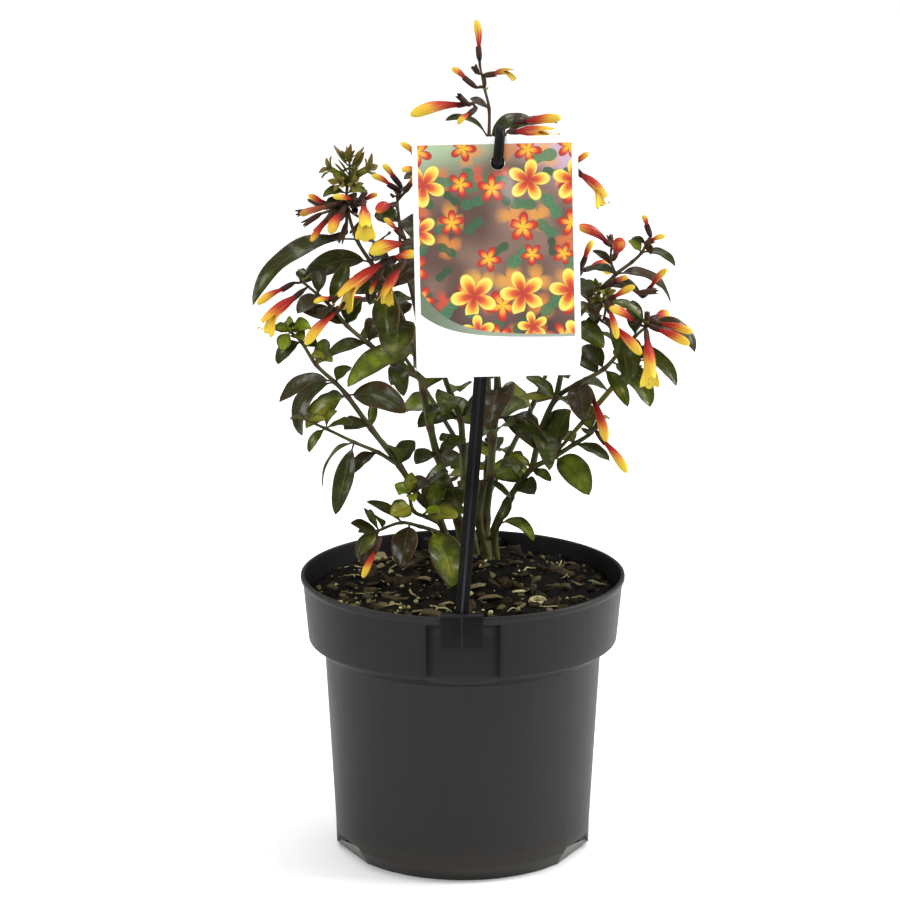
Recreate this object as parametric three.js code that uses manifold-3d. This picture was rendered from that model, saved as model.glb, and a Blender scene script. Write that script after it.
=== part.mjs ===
// A jacobinia in bloom, standing in its nursery pot with a picture label hooked on a stake.
// Millimetres, +Z up. The origin is the middle of the pot's underside, and the label faces -Y.

import * as THREE from "three";
import { mergeVertices } from "three/addons/utils/BufferGeometryUtils.js";
import Module from "manifold-3d";

const wasm = await Module();
wasm.setup();

// ---- driving dimensions ----

const gap = 0.3;                    // room between two pieces that only touch

const rimRadius = 70;               // a 140 mm nursery pot
const potHeight = 122.8;
const potSegments = 40;
const collarRadius = 66.6;          // outside of the collar at its lower edge
const collarBottom = 94.4;
const bodyTopRadius = 59.7;         // the tapered body, just below the collar
const bodyTop = 89.5;
const bodyBottomRadius = 55;
const bandTop = 7;                  // the lowest band draws in to the foot ring
const footRadius = 50;
const wall = 1.3;
const rimWall = 1.6;                // the rim is thicker than the wall
const rimBand = 3;                  // and stands out in a band of this height
const footWall = 2.4;
const shelfLift = 0.8;              // inside, each step sits this much above the outer one
const floorHeight = 5.3;            // the floor is raised on the foot ring and the middle boss
const floorThickness = 1.4;
const bossRadius = 18;
const flangeRound = 0.4;            // small roundings at the rim and at the floor's edge

const recessWidth = 31;             // the label recess in the collar, front and back
const recessTop = 118.8;
const recessDepthAt = 63.4;         // distance of its flat back from the pot's axis
const recessBelow = 12;             // the recess runs out below the collar, past the body
const recessCutDepth = 30;          // of the block that cuts it, well past the rim
const notchWidth = 22;              // drain notches in the foot ring
const notchHeight = 4.8;
const notchFlare = 1;               // a notch is this much wider at its mouth, on each side
const notchLength = 14;
const notchOverlap = 8;             // how far inside the foot's edge a notch starts
const notchAngles = [-71, 71, 131, 229];   // measured from the front

const soilEdge = 113;               // soil level at the wall
const crownRise = 8;                // the root ball stands this much higher at the crown
const crownX = 7;
const crownY = 22;
const crownSpread = 40;
const soilSegments = 30;
const soilRings = [1, 0.7, 0.38];   // rings of the soil's surface, as shares of its radius
const chipCount = 14;
const chipThickness = 2.6;
const chipClear = 11;               // no chip lies this close to a stem
const stemDepth = 15;               // how deep the stems stand in the soil
const holeRoom = 0.5;               // a stem's hole is wider than the stem by this at its corners
const holeSides = 7;

const cardWidth = 68.5;
const cardHeight = 99.5;
const cardThickness = 0.7;
const cardCorner = 2.5;
const cardHoleRadius = 3;
const cardHoleDrop = 10.8;          // hole centre below the card's top edge
const cardHoleShift = 1.1;          // and right of its middle
const stakeWidth = 5.6;
const stakeThickness = 1.3;
const stakeAbove = 2.4;             // the stake ends this much above the card
const ridgeWidth = 0.9;             // a fine ridge runs up its front
const ridgeHeight = 0.5;
const ribWidth = 1.2;               // and a stiffening rib up its back
const ribDepth = 2.4;
const hookRadius = 2.1;
const hookStart = 6;                // below the stake's top
const hookSteps = 6;
const pegShare = 0.85;              // the hook's peg is slimmer than the hook
const pegRise = 0.7;                // and sits in the upper part of the card's hole
const barSides = 8;
const labelLean = -8;               // degrees; the label leans back over the plant
const stakeLean = 4.5;              // and its stake leans to the right
const cardSwing = -1.2;             // the card hangs almost straight on it
const holeHeight = 189;             // of the card's hole along the leaning stake
const clipWidth = 18;
const clipTop = 124.6;
const clipDrop = 14.5;              // the clip's outer plate reaches down into the recess
const clipThickness = 1.4;
const bridgeThickness = 1.5;
const lipDrop = 3.2;

const leafThickness = 1.05;
const pairWidth = 0.45;             // a paired leaf's width, as a share of its length
const leafFold = 18;                // degrees by which each half of a blade is raised
const frontTwist = 38;              // degrees by which a sideways leaf turns its face forwards
const looseTwist = 40;              // and the range of its own chance twist
const petioleShare = 0.12;          // part of a leaf's length that is stalk
const petioleHalf = 0.45;           // half the thickness of that stalk
const widestEarly = 0.85;           // below 1, a blade is widest before its middle
const ovalFullness = 0.8;           // below 1, it is fuller than a plain sine
const stemSides = 4;                // the shoots are square, as in the whole family
const tipInset = 0.08;              // of the last stretch of a shoot
const rootDepth = 0.5;              // leaves and stalks are rooted behind the stem's middle
const calyxLength = 5;              // or this share of a shorter stalk
const calyxShare = 0.6;
const stalkRadius = 0.8;
const calyxRadius = 1.45;
const budWidest = 0.6;              // a small bud is widest at this share of its length
const longBloom = 15;               // a longer bloom has one side more
const stoutShare = 0.9;             // of its margin that a stouter copy of a bloom grows downwards
const clearance = gap + 0.05;       // kept between two things that grow

// ---- the plant ----
// Each row is one shoot: its name, the node that it belongs to, its radius at the foot and at
// the tip, the points that it runs through, and what grows on it. A place along a shoot is
// counted in points, so 2.5 is half way from point 2 to point 3.
//   leaves: place, compass, rise, sag, length, width
//   pairs:  place, compass, rise, sag, length, length of the opposite leaf
//   blooms: place, compass, rise and reach of the stalk, compass, rise and length of the bloom, kind
// The compass is in degrees from +X towards +Y, rise is in degrees above level at the root, and
// sag is the angle through which a leaf arches down on its way to the tip.

const shoots = [
  ["tall", "stem_tall", 2.3, 0.7,
   [[11, 24, 119], [10, 24, 140], [12, 20, 160], [13, 16, 178], [15, 12, 201], [13, 8, 228],
    [12, 6, 257], [11, 4, 286], [11, 4, 312], [11, 4, 325], [9, 4, 334], [7, 4, 344]],
   [[3, 290, 45, 40, 29, 9], [3, 85, -10, 40, 21, 8], [4, 265, 15, 50, 44, 12.5],
    [4, 40, -10, 50, 25, 10], [8, 205, 60, 70, 24, 6.5], [8, 40, 40, 50, 25, 6],
    [9, 135, 30, 30, 12, 3.5]],
   [[2, 350, 10, 50, 16, 0], [5, 70, 20, 60, 26, 26], [6, 160, 25, 60, 26, 24],
    [7, 60, 25, 50, 22, 22], [9.9, 100, 30, 40, 6, 5]],
   [[11, 180, 85, 6, 180, 85, 14, "bud"], [10.6, 155, 30, 3, 150, 55, 4, "calyx"],
    [10, 195, 25, 8, 195, 40, 9, "small"], [10, 330, 60, 7, 325, 10, 8, "small"]]],
  ["tipLeft", "stem_tall", 0.9, 0.6,
   [[11, 4, 325], [8, 3, 328], [4, 1, 328]],
   [],
   [],
   [[2, 190, -5, 5, 210, -5, 25, "bud"], [1.5, 215, 15, 8, 220, 40, 6, "calyx"],
    [2, 260, -30, 6, 225, -25, 9, "small"]]],
  ["tipRight", "stem_tall", 1.0, 0.7,
   [[11, 4, 311], [16, 4, 313], [21, 2, 317]],
   [[1.5, 25, 35, 40, 25, 5]],
   [],
   [[2, 335, 35, 6, 335, 10, 18, "bud"], [2, 280, 0, 6, 330, 5, 19, "open"],
    [1.6, 55, 35, 8, 75, 25, 4, "calyx"]]],
  ["stump", "stem_tall", 1.9, 1.8,
   [[11, 24, 123], [7, 20, 141], [9, 17, 159]],
   [],
   [],
   []],
  ["crownTwig", "stem_tall", 1.0, 0.6,
   [[12, 24, 131], [16, 16, 140], [22, 12, 153]],
   [[1, 315, 30, 80, 23, 5.5], [2, 215, -45, 20, 11, 5], [2, 170, 50, 20, 13, 4]],
   [],
   []],
  ["hiddenRight", "stem_tall", 1.2, 0.7,
   [[11, 5, 275], [24, 14, 282], [37, 16, 290], [46, 12, 295]],
   [],
   [[1, 90, 10, 50, 22, 18], [2, 250, 20, 60, 16, 18], [2.8, 100, 20, 50, 9, 9]],
   [[3, 315, 20, 6, 325, -35, 17, "open"], [3, 325, 50, 5, 345, 20, 9, "small"],
    [2.6, 80, 30, 12, 80, 30, 12, "bud"]]],
  ["hiddenLeft", "stem_tall", 1.2, 0.7,
   [[11, 5, 279], [-2, 4, 288], [-12, 0, 296], [-16, -2, 302]],
   [],
   [[1, 80, 15, 50, 20, 16], [2, 200, 30, 60, 14, 16]],
   [[3, 180, 50, 6, 195, 40, 9, "small"], [3, 215, -10, 4, 220, 5, 9, "small"],
    [2.5, 90, -5, 13, 100, 45, 11, "bud"]]],
  ["left", "stem_left", 2.2, 0.9,
   [[1, 22, 120], [-2, 18, 141], [-6, 12, 158], [-11, 8, 173], [-14, 6, 186], [-17, 3, 202],
    [-20, 1, 219], [-26, -2, 236], [-31, -2, 248], [-39, -2, 260], [-45, -2, 270],
    [-49, -2, 284], [-49, 0, 293]],
   [[2, 265, 40, 50, 28, 11], [2, 280, 0, 40, 20, 9], [3, 240, 20, 40, 19, 8],
    [3, 350, 45, 30, 15, 9], [4, 290, 60, 60, 25, 9], [5, 55, 35, 40, 22, 9],
    [6, 215, 25, 70, 44, 9.5], [7, 265, -10, 45, 27, 12.5], [7, 80, 30, 30, 17, 8],
    [8, 215, 20, 40, 27, 9], [8, 40, 50, 40, 21, 9], [9, 200, 25, 75, 34, 9.5],
    [9, 305, 45, 40, 22, 8], [10, 195, 10, 80, 57, 10.5], [10, 55, 0, 40, 16, 8]],
   [[11, 75, 10, 60, 16, 13], [11.6, 20, 20, 50, 10, 11], [12, 340, 45, -30, 11, 10],
    [12, 60, 50, -20, 10, 9]],
   [[11.3, 195, -10, 9, 195, 30, 9, "small"], [11.4, 290, 5, 9, 225, 15, 12, "bud"],
    [11.1, 230, 5, 11, 220, -5, 16, "wilted"], [11, 205, -20, 10, 205, -45, 13, "bud"],
    [11, 260, 0, 12, 245, -30, 13, "fat"], [11.2, 305, 0, 13, 275, -30, 21, "open"],
    [11.4, 40, -20, 9, 30, 20, 8, "small"], [10.8, 220, -55, 11, 210, -10, 8, "calyx"],
    [11, 25, -60, 10, 145, -45, 10, "calyx"]]],
  ["leftSpray", "stem_left", 1.0, 0.6,
   [[-49, 0, 293], [-48, 2, 297], [-48, 3, 303]],
   [],
   [[0.6, 200, 20, -20, 10, 11], [1, 20, 25, -20, 12, 9], [1.6, 185, 40, -30, 12, 11],
    [2, 60, 70, -20, 8, 8]],
   []],
  ["leftInner", "stem_left", 1.6, 0.7,
   [[-17, 3, 202], [-18, 10, 221], [-21, 12, 241], [-26, 8, 260], [-27, 4, 276], [-28, 2, 288]],
   [[1, 50, -10, 50, 22, 9], [1, 140, -25, 50, 20, 8], [3, 240, 10, 60, 26, 8],
    [3, 45, 40, 50, 18, 9], [4, 150, 35, 50, 13, 8], [4, 285, 25, 60, 30, 8]],
   [[2, 60, 20, 50, 22, 18], [5, 80, 30, 40, 12, 10]],
   [[4.6, 245, 60, 11, 215, 30, 12, "bud"], [5, 250, 75, 9, 210, 50, 9, "small"],
    [4.4, 260, 20, 17, 240, 0, 12, "fat"], [4.2, 270, -15, 14, 225, 40, 11, "bud"],
    [3.6, 275, 0, 16, 215, -5, 17, "fat"], [3.2, 270, -20, 14, 235, -40, 17, "open"],
    [4.8, 310, 45, 11, 305, 45, 10, "small"]]],
  ["leftTwig", "stem_left", 1.0, 0.7,
   [[-26, 8, 258], [-29, -2, 262], [-33, -10, 263]],
   [[1.4, 145, -20, 30, 16, 6]],
   [],
   [[2, 245, -10, 5, 215, -30, 25, "open"], [2, 260, 15, 6, 265, 15, 17, "bud"],
    [1.8, 175, -65, 9, 230, -50, 8, "small"]]],
  ["upperLeft", "stem_left", 1.5, 0.8,
   [[-19, 2, 209], [-29, -5, 216], [-40, -12, 227], [-49, -17, 236], [-55, -19, 244],
    [-61, -20, 250], [-68, -20, 256]],
   [[1, 280, 5, 50, 25, 8], [1, 105, 25, 40, 22, 8], [2, 210, 15, 50, 21, 6],
    [2, 85, 45, 40, 18, 7], [3, 200, 35, 30, 21, 9], [3, 10, 75, 30, 13, 9],
    [4, 40, 80, 30, 21, 7], [4, 265, 10, 50, 16, 7], [5, 80, 60, 30, 14, 6],
    [5, 225, 0, 40, 16, 7], [6, 180, 80, 20, 6, 5]],
   [[6, 100, 50, 30, 9, 7]],
   [[6, 195, -15, 8, 215, -20, 15, "bud"], [5.6, 230, -20, 8, 215, -30, 20, "open"],
    [4.4, 300, 30, 6, 225, 0, 11, "bud"], [4, 295, 5, 8, 220, -40, 20, "bud"]]],
  ["lowLeft", "stem_low_left", 1.8, 0.8,
   [[-2, 8, 122], [-10, 0, 146], [-18, -6, 157], [-27, -14, 174], [-39, -20, 192],
    [-49, -23, 207], [-54, -24, 213], [-62, -25, 221], [-68, -26, 231], [-73, -27, 236]],
   [[2, 325, 60, 30, 21, 9], [3, 250, 55, 40, 27, 8], [3, 40, 65, 30, 13, 7],
    [4, 235, 30, 40, 20, 8], [4, 80, 60, 20, 13, 4], [5, 335, 20, 60, 29, 11],
    [5, 155, -10, 40, 22, 9], [6, 205, 0, 110, 31, 8], [6, 30, 50, 30, 10, 7],
    [6.1, 150, 0, 50, 31, 8], [7, 310, 35, 40, 12, 5], [7, 70, 50, 30, 15, 6],
    [8, 200, 0, 80, 15, 6], [8, 320, 10, 30, 9, 6]],
   [[9, 190, 20, 30, 10, 9], [9, 280, 30, 20, 10, 9], [9, 100, 60, 0, 7, 7]],
   []],
  ["lowLeftTwig", "stem_low_left", 1.1, 0.6,
   [[-27, -14, 174], [-36, -22, 182], [-46, -28, 188], [-58, -32, 195], [-66, -34, 199]],
   [[1, 215, -5, 50, 16, 6], [2, 230, -55, 25, 32, 8], [2, 155, -20, 70, 28, 6],
    [3, 210, -20, 60, 13, 4], [3, 340, 65, 20, 10, 7], [3, 315, 30, 30, 18, 7]],
   [[4, 180, 20, 30, 8, 8], [4, 100, 40, 10, 8, 7]],
   []],
  ["rosette", "stem_low_left", 1.2, 0.8,
   [[-9, 1, 144], [-15, -6, 149], [-21, -14, 154], [-23, -18, 163]],
   [[3, 235, 25, 30, 8, 6], [3, 330, 70, 20, 8, 6], [2.3, 230, 10, 30, 14, 9],
    [1.4, 320, 35, 40, 11, 6], [3, 35, 50, 40, 12, 7], [1.2, 335, 25, 40, 16, 11]],
   [],
   []],
  ["overSoil", "stem_low_left", 1.2, 0.6,
   [[-7, 3, 136], [-12, -3, 142], [-18, -10, 146], [-26, -18, 150], [-34, -24, 149],
    [-37, -28, 148]],
   [[2.6, 255, -25, 50, 22, 9.5], [1.4, 305, -30, 45, 29, 12], [3, 175, 45, 30, 18, 5],
    [4, 210, -15, 60, 18, 7], [4, 240, 55, 30, 16, 7], [5, 210, 35, 20, 14, 6],
    [5, 255, -20, 20, 17, 5], [4.4, 150, 55, 10, 12, 3]],
   [],
   [[5, 270, -30, 9, 225, -55, 14, "bud"]]],
  ["right", "stem_right", 1.9, 0.9,
   [[15, 30, 118], [14, 28, 134], [19, 22, 148], [24, 17, 157], [30, 12, 166], [39, 8, 172],
    [48, 4, 179], [55, 0, 185], [58, -4, 192]],
   [[3, 220, 75, 30, 10, 8], [3, 295, 25, 50, 17, 8], [4, 310, -5, 20, 13, 5],
    [4, 195, 70, 30, 13, 4], [5, 310, -5, 45, 27, 10], [5, 345, 75, 10, 23, 14],
    [6, 325, 0, 30, 19, 6], [6, 125, 25, 30, 15, 8], [7, 285, 15, 50, 17, 8],
    [7, 105, 55, 30, 16, 7]],
   [[8, 200, 20, 40, 7, 6]],
   [[8, 240, 65, 12, 295, -50, 21, "bud"], [7.6, 295, -40, 8, 325, -45, 18, "bud"]]],
  ["rightUp", "stem_right", 1.6, 0.8,
   [[30, 12, 166], [34, 14, 183], [40, 8, 198], [49, 2, 206], [60, -4, 214], [67, -8, 223],
    [73, -11, 230], [78, -13, 235]],
   [[1, 275, 10, 55, 35, 9], [1, 140, 25, 40, 19, 9], [2, 285, 25, 30, 17, 6],
    [2, 155, 60, 40, 17, 7], [3, 285, -5, 40, 26, 9], [3, 40, 0, 40, 20, 8],
    [4, 315, -15, 60, 21, 6], [4, 130, 50, 40, 16, 8], [4.4, 315, -5, 60, 29, 11],
    [5, 345, 5, 70, 30, 8], [5, 215, 60, 40, 14, 7], [6, 275, 5, 60, 25, 7],
    [6, 95, 75, 40, 17, 7], [7, 350, 35, 90, 27, 9], [7, 205, 65, 60, 22, 6],
    [7, 40, 50, 30, 14, 6]],
   [[7, 100, 60, 30, 8, 7]],
   [[7, 210, 25, 6, 220, 30, 17, "bud"], [7, 350, 20, 5, 340, -10, 16, "bud"],
    [7, 305, 5, 6, 325, -15, 18, "bud"], [7, 270, -25, 8, 275, -45, 21, "open"],
    [6.8, 45, 30, 7, 60, -5, 12, "fat"], [7, 30, 65, 4, 0, 70, 5, "calyx"]]],
  ["rightInner", "stem_right", 1.5, 0.8,
   [[40, 8, 198], [44, 12, 216], [48, 10, 231], [54, 6, 240], [60, 3, 248], [65, 2, 254],
    [72, 4, 259], [76, 4, 263], [78, 4, 267]],
   [[1, 130, 30, 50, 17, 9], [1, 320, 10, 50, 19, 8], [2, 145, 55, 50, 17, 9],
    [2, 300, 5, 40, 25, 9], [3, 285, 20, 40, 25, 8], [3, 120, 60, 40, 15, 8],
    [4, 245, 25, 40, 21, 8], [4, 25, 10, 40, 18, 7], [5, 0, 10, 80, 32, 8],
    [5, 135, 15, 40, 18, 5], [7, 345, 20, 80, 17, 5], [7, 180, 55, 30, 8, 5],
    [8, 180, 45, 50, 7, 3]],
   [[8, 270, 10, 40, 7, 7]],
   [[8, 0, 85, 7, 180, 70, 6, "small"], [7.8, 295, 30, 5, 325, 25, 8, "small"],
    [4.4, 280, 10, 9, 330, 25, 8, "small"], [4, 285, -10, 12, 320, 30, 14, "bud"],
    [4.6, 0, -15, 17, 330, 50, 13, "bud"], [4.6, 345, -15, 17, 330, 10, 8, "calyx"]]],
  ["rightTwig", "stem_right", 0.9, 0.6,
   [[65, 2, 254], [63, 4, 259], [63, 5, 264]],
   [[0.6, 150, 55, 50, 12, 3.5]],
   [],
   [[2, 250, 50, 5, 215, 30, 19, "bud"], [2, 90, 50, 5, 120, 65, 5, "calyx"],
    [1.6, 280, 10, 9, 280, 35, 15, "fat"]]],
  ["rightMid", "stem_right", 1.1, 0.7,
   [[54, 6, 240], [58, -4, 236], [61, -10, 235]],
   [[1, 240, -5, 20, 12, 5], [1, 260, 55, 30, 19, 6], [2, 300, 10, 70, 31, 6]],
   [],
   [[2, 285, 10, 8, 315, -30, 20, "bud"], [1.4, 305, 60, 12, 305, -20, 16, "bud"]]],
  ["centre", "stem_centre", 2.1, 0.8,
   [[7, 34, 116], [3, 32, 137], [1, 28, 157], [0, 26, 172], [-1, 24, 185], [-5, 22, 196],
    [-9, 20, 209], [-12, 18, 228], [-14, 18, 248], [-14, 22, 267], [-12, 26, 279]],
   [[3, 235, 40, 40, 19, 8], [3, 350, 5, 40, 13, 9], [4, 230, 30, 60, 25, 10],
    [4, 330, 50, 40, 22, 8]],
   [[2, 120, 10, 50, 20, 20], [5, 80, 20, 60, 24, 22], [6, 170, 20, 60, 24, 24],
    [7, 80, 25, 60, 24, 20], [8, 350, 25, 60, 24, 22], [9, 90, 25, 50, 16, 14],
    [10, 0, 30, 40, 10, 10]],
   [[10, 85, 50, 6, 80, 55, 15, "bud"], [10, 60, 10, 9, 70, 20, 18, "open"],
    [9.8, 110, 15, 12, 110, 20, 16, "bud"], [9.6, 80, -5, 20, 85, -20, 28, "bud"]]],
  ["back", "stem_back", 2.0, 0.8,
   [[10, 44, 114], [9, 48, 133], [11, 58, 153], [12, 66, 176], [11, 72, 202], [10, 74, 227],
    [10, 76, 249]],
   [],
   [[2, 100, 15, 50, 22, 0], [2, 10, 15, 50, 20, 20], [3, 80, 15, 60, 22, 20],
    [4, 160, 20, 60, 22, 24], [5, 75, 20, 60, 18, 20], [6, 0, 30, 50, 11, 10]],
   [[6, 85, 45, 6, 85, 35, 15, "bud"], [6, 120, 15, 7, 125, 15, 15, "open"],
    [5.8, 50, 40, 8, 65, 0, 16, "bud"]]],
  ["backLeft", "stem_back", 1.4, 0.7,
   [[10, 52, 141], [1, 58, 160], [-11, 62, 180], [-22, 62, 198], [-31, 58, 214], [-37, 54, 231]],
   [],
   [[1, 60, 15, 50, 20, 18], [2, 140, 20, 60, 22, 22], [3, 60, 20, 60, 20, 20],
    [4, 150, 20, 60, 18, 18], [5, 60, 30, 50, 9, 9]],
   [[5, 180, 55, 6, 155, 40, 11, "bud"], [5, 80, 40, 8, 70, 45, 12, "bud"],
    [4.8, 140, 15, 9, 125, -15, 16, "open"]]],
  ["backRight", "stem_back", 1.5, 0.7,
   [[10, 52, 141], [20, 54, 161], [31, 54, 184], [39, 54, 204], [45, 50, 225], [50, 46, 246]],
   [],
   [[1, 110, 15, 50, 20, 18], [2, 40, 20, 60, 22, 22], [3, 110, 20, 60, 20, 22],
    [4, 30, 20, 60, 20, 18], [5, 100, 30, 50, 9, 9]],
   [[5, 325, 60, 7, 25, 65, 10, "small"], [5, 105, 40, 8, 110, 35, 13, "bud"],
    [4.8, 40, 25, 9, 55, 0, 15, "open"]]],
];

const rootedShoots = ["tall", "left", "lowLeft", "right", "centre", "back"];

// ---- small helpers ----

const radians = (degrees) => degrees * Math.PI / 180;

const heading = (compass, rise) => new THREE.Vector3(
  Math.cos(radians(rise)) * Math.cos(radians(compass)),
  Math.cos(radians(rise)) * Math.sin(radians(compass)),
  Math.sin(radians(rise)),
);

// An even, repeatable scatter of numbers between 0 and 1.
const scatter = (seed) => {
  const value = Math.sin(seed * 12.9898) * 43758.5453;
  return value - Math.floor(value);
};

// Two triangles for a four-cornered patch of skin, split along one or the other diagonal.
// On a leaf the two lower patches are split the other way, so both faces of a blade are alike.
function patch(a, b, c, d, otherWay) {
  return otherWay ? [a, b, d, b, c, d] : [a, b, c, a, c, d];
}

// A closed skin over a row of rings. Each ring runs anticlockwise when seen from the next one,
// and the first and last may be a single point.
function skin(rings, isLeaf = false) {
  const positions = [];
  const faces = [];
  const starts = [];
  for (const ring of rings) {
    starts.push(positions.length / 3);
    ring.forEach((point) => positions.push(point.x, point.y, point.z));
  }
  for (let i = 0; i + 1 < rings.length; i += 1) {
    const here = rings[i].length;
    const there = rings[i + 1].length;
    const sides = Math.max(here, there);
    for (let k = 0; k < sides; k += 1) {
      const a = starts[i] + k % here;
      const b = starts[i] + (k + 1) % sides % here;
      const c = starts[i + 1] + (k + 1) % sides % there;
      const d = starts[i + 1] + k % there;
      if (here === 1) faces.push(a, c, d);
      else if (there === 1) faces.push(a, b, c);
      else faces.push(...patch(a, b, c, d, isLeaf && k > 1));
    }
  }
  const last = rings.length - 1;
  for (let k = 1; k + 1 < rings[0].length; k += 1) {
    faces.push(starts[0], starts[0] + k + 1, starts[0] + k);
  }
  for (let k = 1; k + 1 < rings[last].length; k += 1) {
    faces.push(starts[last], starts[last] + k, starts[last] + k + 1);
  }
  const geometry = new THREE.BufferGeometry();
  geometry.setAttribute("position", new THREE.Float32BufferAttribute(positions, 3));
  geometry.setIndex(faces);
  return geometry;
}

// A closed three.js geometry as a solid that can be joined and cut.
function solidOf(geometry) {
  const bare = geometry.clone();
  bare.deleteAttribute("normal");
  bare.deleteAttribute("uv");
  const merged = mergeVertices(bare, 1e-4);
  const index = merged.index.array;
  const faces = [];
  for (let i = 0; i < index.length; i += 3) {
    const [a, b, c] = index.subarray(i, i + 3);
    if (a !== b && b !== c && c !== a) faces.push(a, b, c);
  }
  return new wasm.Manifold(new wasm.Mesh({
    numProp: 3,
    vertProperties: new Float32Array(merged.attributes.position.array),
    triVerts: new Uint32Array(faces),
  }));
}

// The largest body of a solid, as a geometry; scraps that a cut leaves loose are dropped.
function geometryOf(solid) {
  const bodies = solid.decompose();
  const largest = bodies.reduce((best, body) => (body.volume() > best.volume() ? body : best));
  const mesh = largest.getMesh();
  const geometry = new THREE.BufferGeometry();
  geometry.setAttribute("position", new THREE.BufferAttribute(mesh.vertProperties, 3));
  geometry.setIndex(new THREE.BufferAttribute(mesh.triVerts, 1));
  return geometry;
}

const joinAll = (solids) => solids.reduce((whole, next) => whole.add(next));

function box(width, depth, height, x, y, z) {
  return new THREE.BoxGeometry(width, depth, height).translate(x, y, z);
}

// A solid of revolution about +Z from [radius, height] corners.
function turned(corners) {
  const profile = corners.map(([radius, height]) => new THREE.Vector2(radius, height));
  return new THREE.LatheGeometry(profile, potSegments).rotateX(Math.PI / 2);
}

// A ring of corners around a point, in the plane of two directions.
function ringAt(centre, across, up, radius, sides) {
  return Array.from({ length: sides }, (_, k) => {
    const turn = 2 * Math.PI * k / sides;
    return centre.clone()
      .addScaledVector(across, radius * Math.cos(turn))
      .addScaledVector(up, radius * Math.sin(turn));
  });
}

// A tube of changing radius through a row of centres.
function tube(centres, radii, sides) {
  const rings = centres.map((centre, i) => {
    const ahead = centres[Math.min(i + 1, centres.length - 1)];
    const behind = centres[Math.max(i - 1, 0)];
    const along = ahead.clone().sub(behind).normalize();
    const across = new THREE.Vector3(0, 1, 0).cross(along).normalize();
    const up = along.clone().cross(across);
    return radii[i] > 0 ? ringAt(centre, across, up, radii[i], sides) : [centre];
  });
  return skin(rings);
}

// ---- pot ----

const outerProfile = [
  [footRadius, 0],
  [bodyBottomRadius, bandTop],
  [bodyTopRadius, bodyTop],
  [collarRadius, collarBottom],
  [rimRadius - 1, potHeight - rimBand],
  [rimRadius, potHeight - rimBand + 1],
  [rimRadius - flangeRound, potHeight],
];

const innerProfile = [
  [rimRadius - rimWall, potHeight],
  [collarRadius - wall, collarBottom + shelfLift],
  [bodyTopRadius - wall, bodyTop + shelfLift],
  [bodyBottomRadius - wall, bandTop + shelfLift / 2],
  [footRadius - flangeRound, floorHeight + floorThickness],
];

const floorProfile = [
  [0, 0],
  [bossRadius, 0],
  [bossRadius, floorHeight],
  [footRadius - footWall, floorHeight],
  [footRadius - footWall, 0],
];

// The label recess: the collar steps back to a flat panel, with a cheek on each side of it.
function recessCut(side, margin, top) {
  const width = recessWidth + 2 * margin;
  const front = side * (recessDepthAt - margin + recessCutDepth / 2);
  const low = collarBottom - recessBelow - margin;
  const height = top + margin - low;
  return solidOf(box(width, recessCutDepth, height, 0, front, (top + margin + low) / 2));
}

function drainNotch(angle) {
  const profile = new THREE.Shape();
  profile.moveTo(-notchWidth / 2 - notchFlare, -1);
  profile.lineTo(notchWidth / 2 + notchFlare, -1);
  profile.lineTo(notchWidth / 2 - notchFlare, notchHeight);
  profile.lineTo(-notchWidth / 2 + notchFlare, notchHeight);
  const wedge = new THREE.ExtrudeGeometry(profile, { depth: notchLength, bevelEnabled: false })
    .rotateX(Math.PI / 2)
    .translate(0, -footRadius + notchOverlap, 0)
    .rotateZ(radians(angle));
  return solidOf(wedge);
}

function makePot() {
  const filled = solidOf(turned([[0, 0], ...outerProfile, [0, potHeight]]));
  let pot = solidOf(turned([...floorProfile, ...outerProfile, ...innerProfile,
    [0, floorHeight + floorThickness]]));
  for (const side of [-1, 1]) {
    const tray = filled.intersect(recessCut(side, wall, recessTop));
    const hollow = recessCut(side, 0, recessTop);
    pot = pot.subtract(hollow).add(tray.subtract(hollow));
  }
  notchAngles.forEach((angle) => {
    pot = pot.subtract(drainNotch(angle));
  });
  return geometryOf(pot);
}

// ---- soil ----

// Height of the soil's surface: a low mound round the crown, with small humps.
function soilHeight(x, y) {
  const away = Math.hypot(x - crownX, y - crownY) / crownSpread;
  const humps = 0.8 * Math.sin(x * 0.23 + 1) * Math.cos(y * 0.19) + 0.5 * Math.sin(x * 0.51 - y * 0.43);
  return soilEdge + crownRise * Math.exp(-away * away) + humps;
}

function soilBody() {
  const inset = gap + 0.1;
  const wallRings = innerProfile.slice(1).reverse().map(([radius, height]) => [radius - inset, height]);
  wallRings[0][1] += inset;
  const circle = (radius, heightOf) => Array.from({ length: soilSegments }, (_, k) => {
    const turn = 2 * Math.PI * k / soilSegments;
    const x = radius * Math.cos(turn);
    const y = radius * Math.sin(turn);
    return new THREE.Vector3(x, y, heightOf(x, y));
  });
  const rings = [[new THREE.Vector3(0, 0, wallRings[0][1])]];
  wallRings.forEach(([radius, height]) => rings.push(circle(radius, () => height)));
  const up = (soilEdge - 1 - collarBottom) / (potHeight - collarBottom);
  const edge = collarRadius - wall - inset + (rimRadius - collarRadius - gap) * up;
  soilRings.forEach((share) => rings.push(circle(edge * share, soilHeight)));
  rings.push([new THREE.Vector3(0, 0, soilHeight(0, 0))]);
  return solidOf(skin(rings));
}

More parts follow.
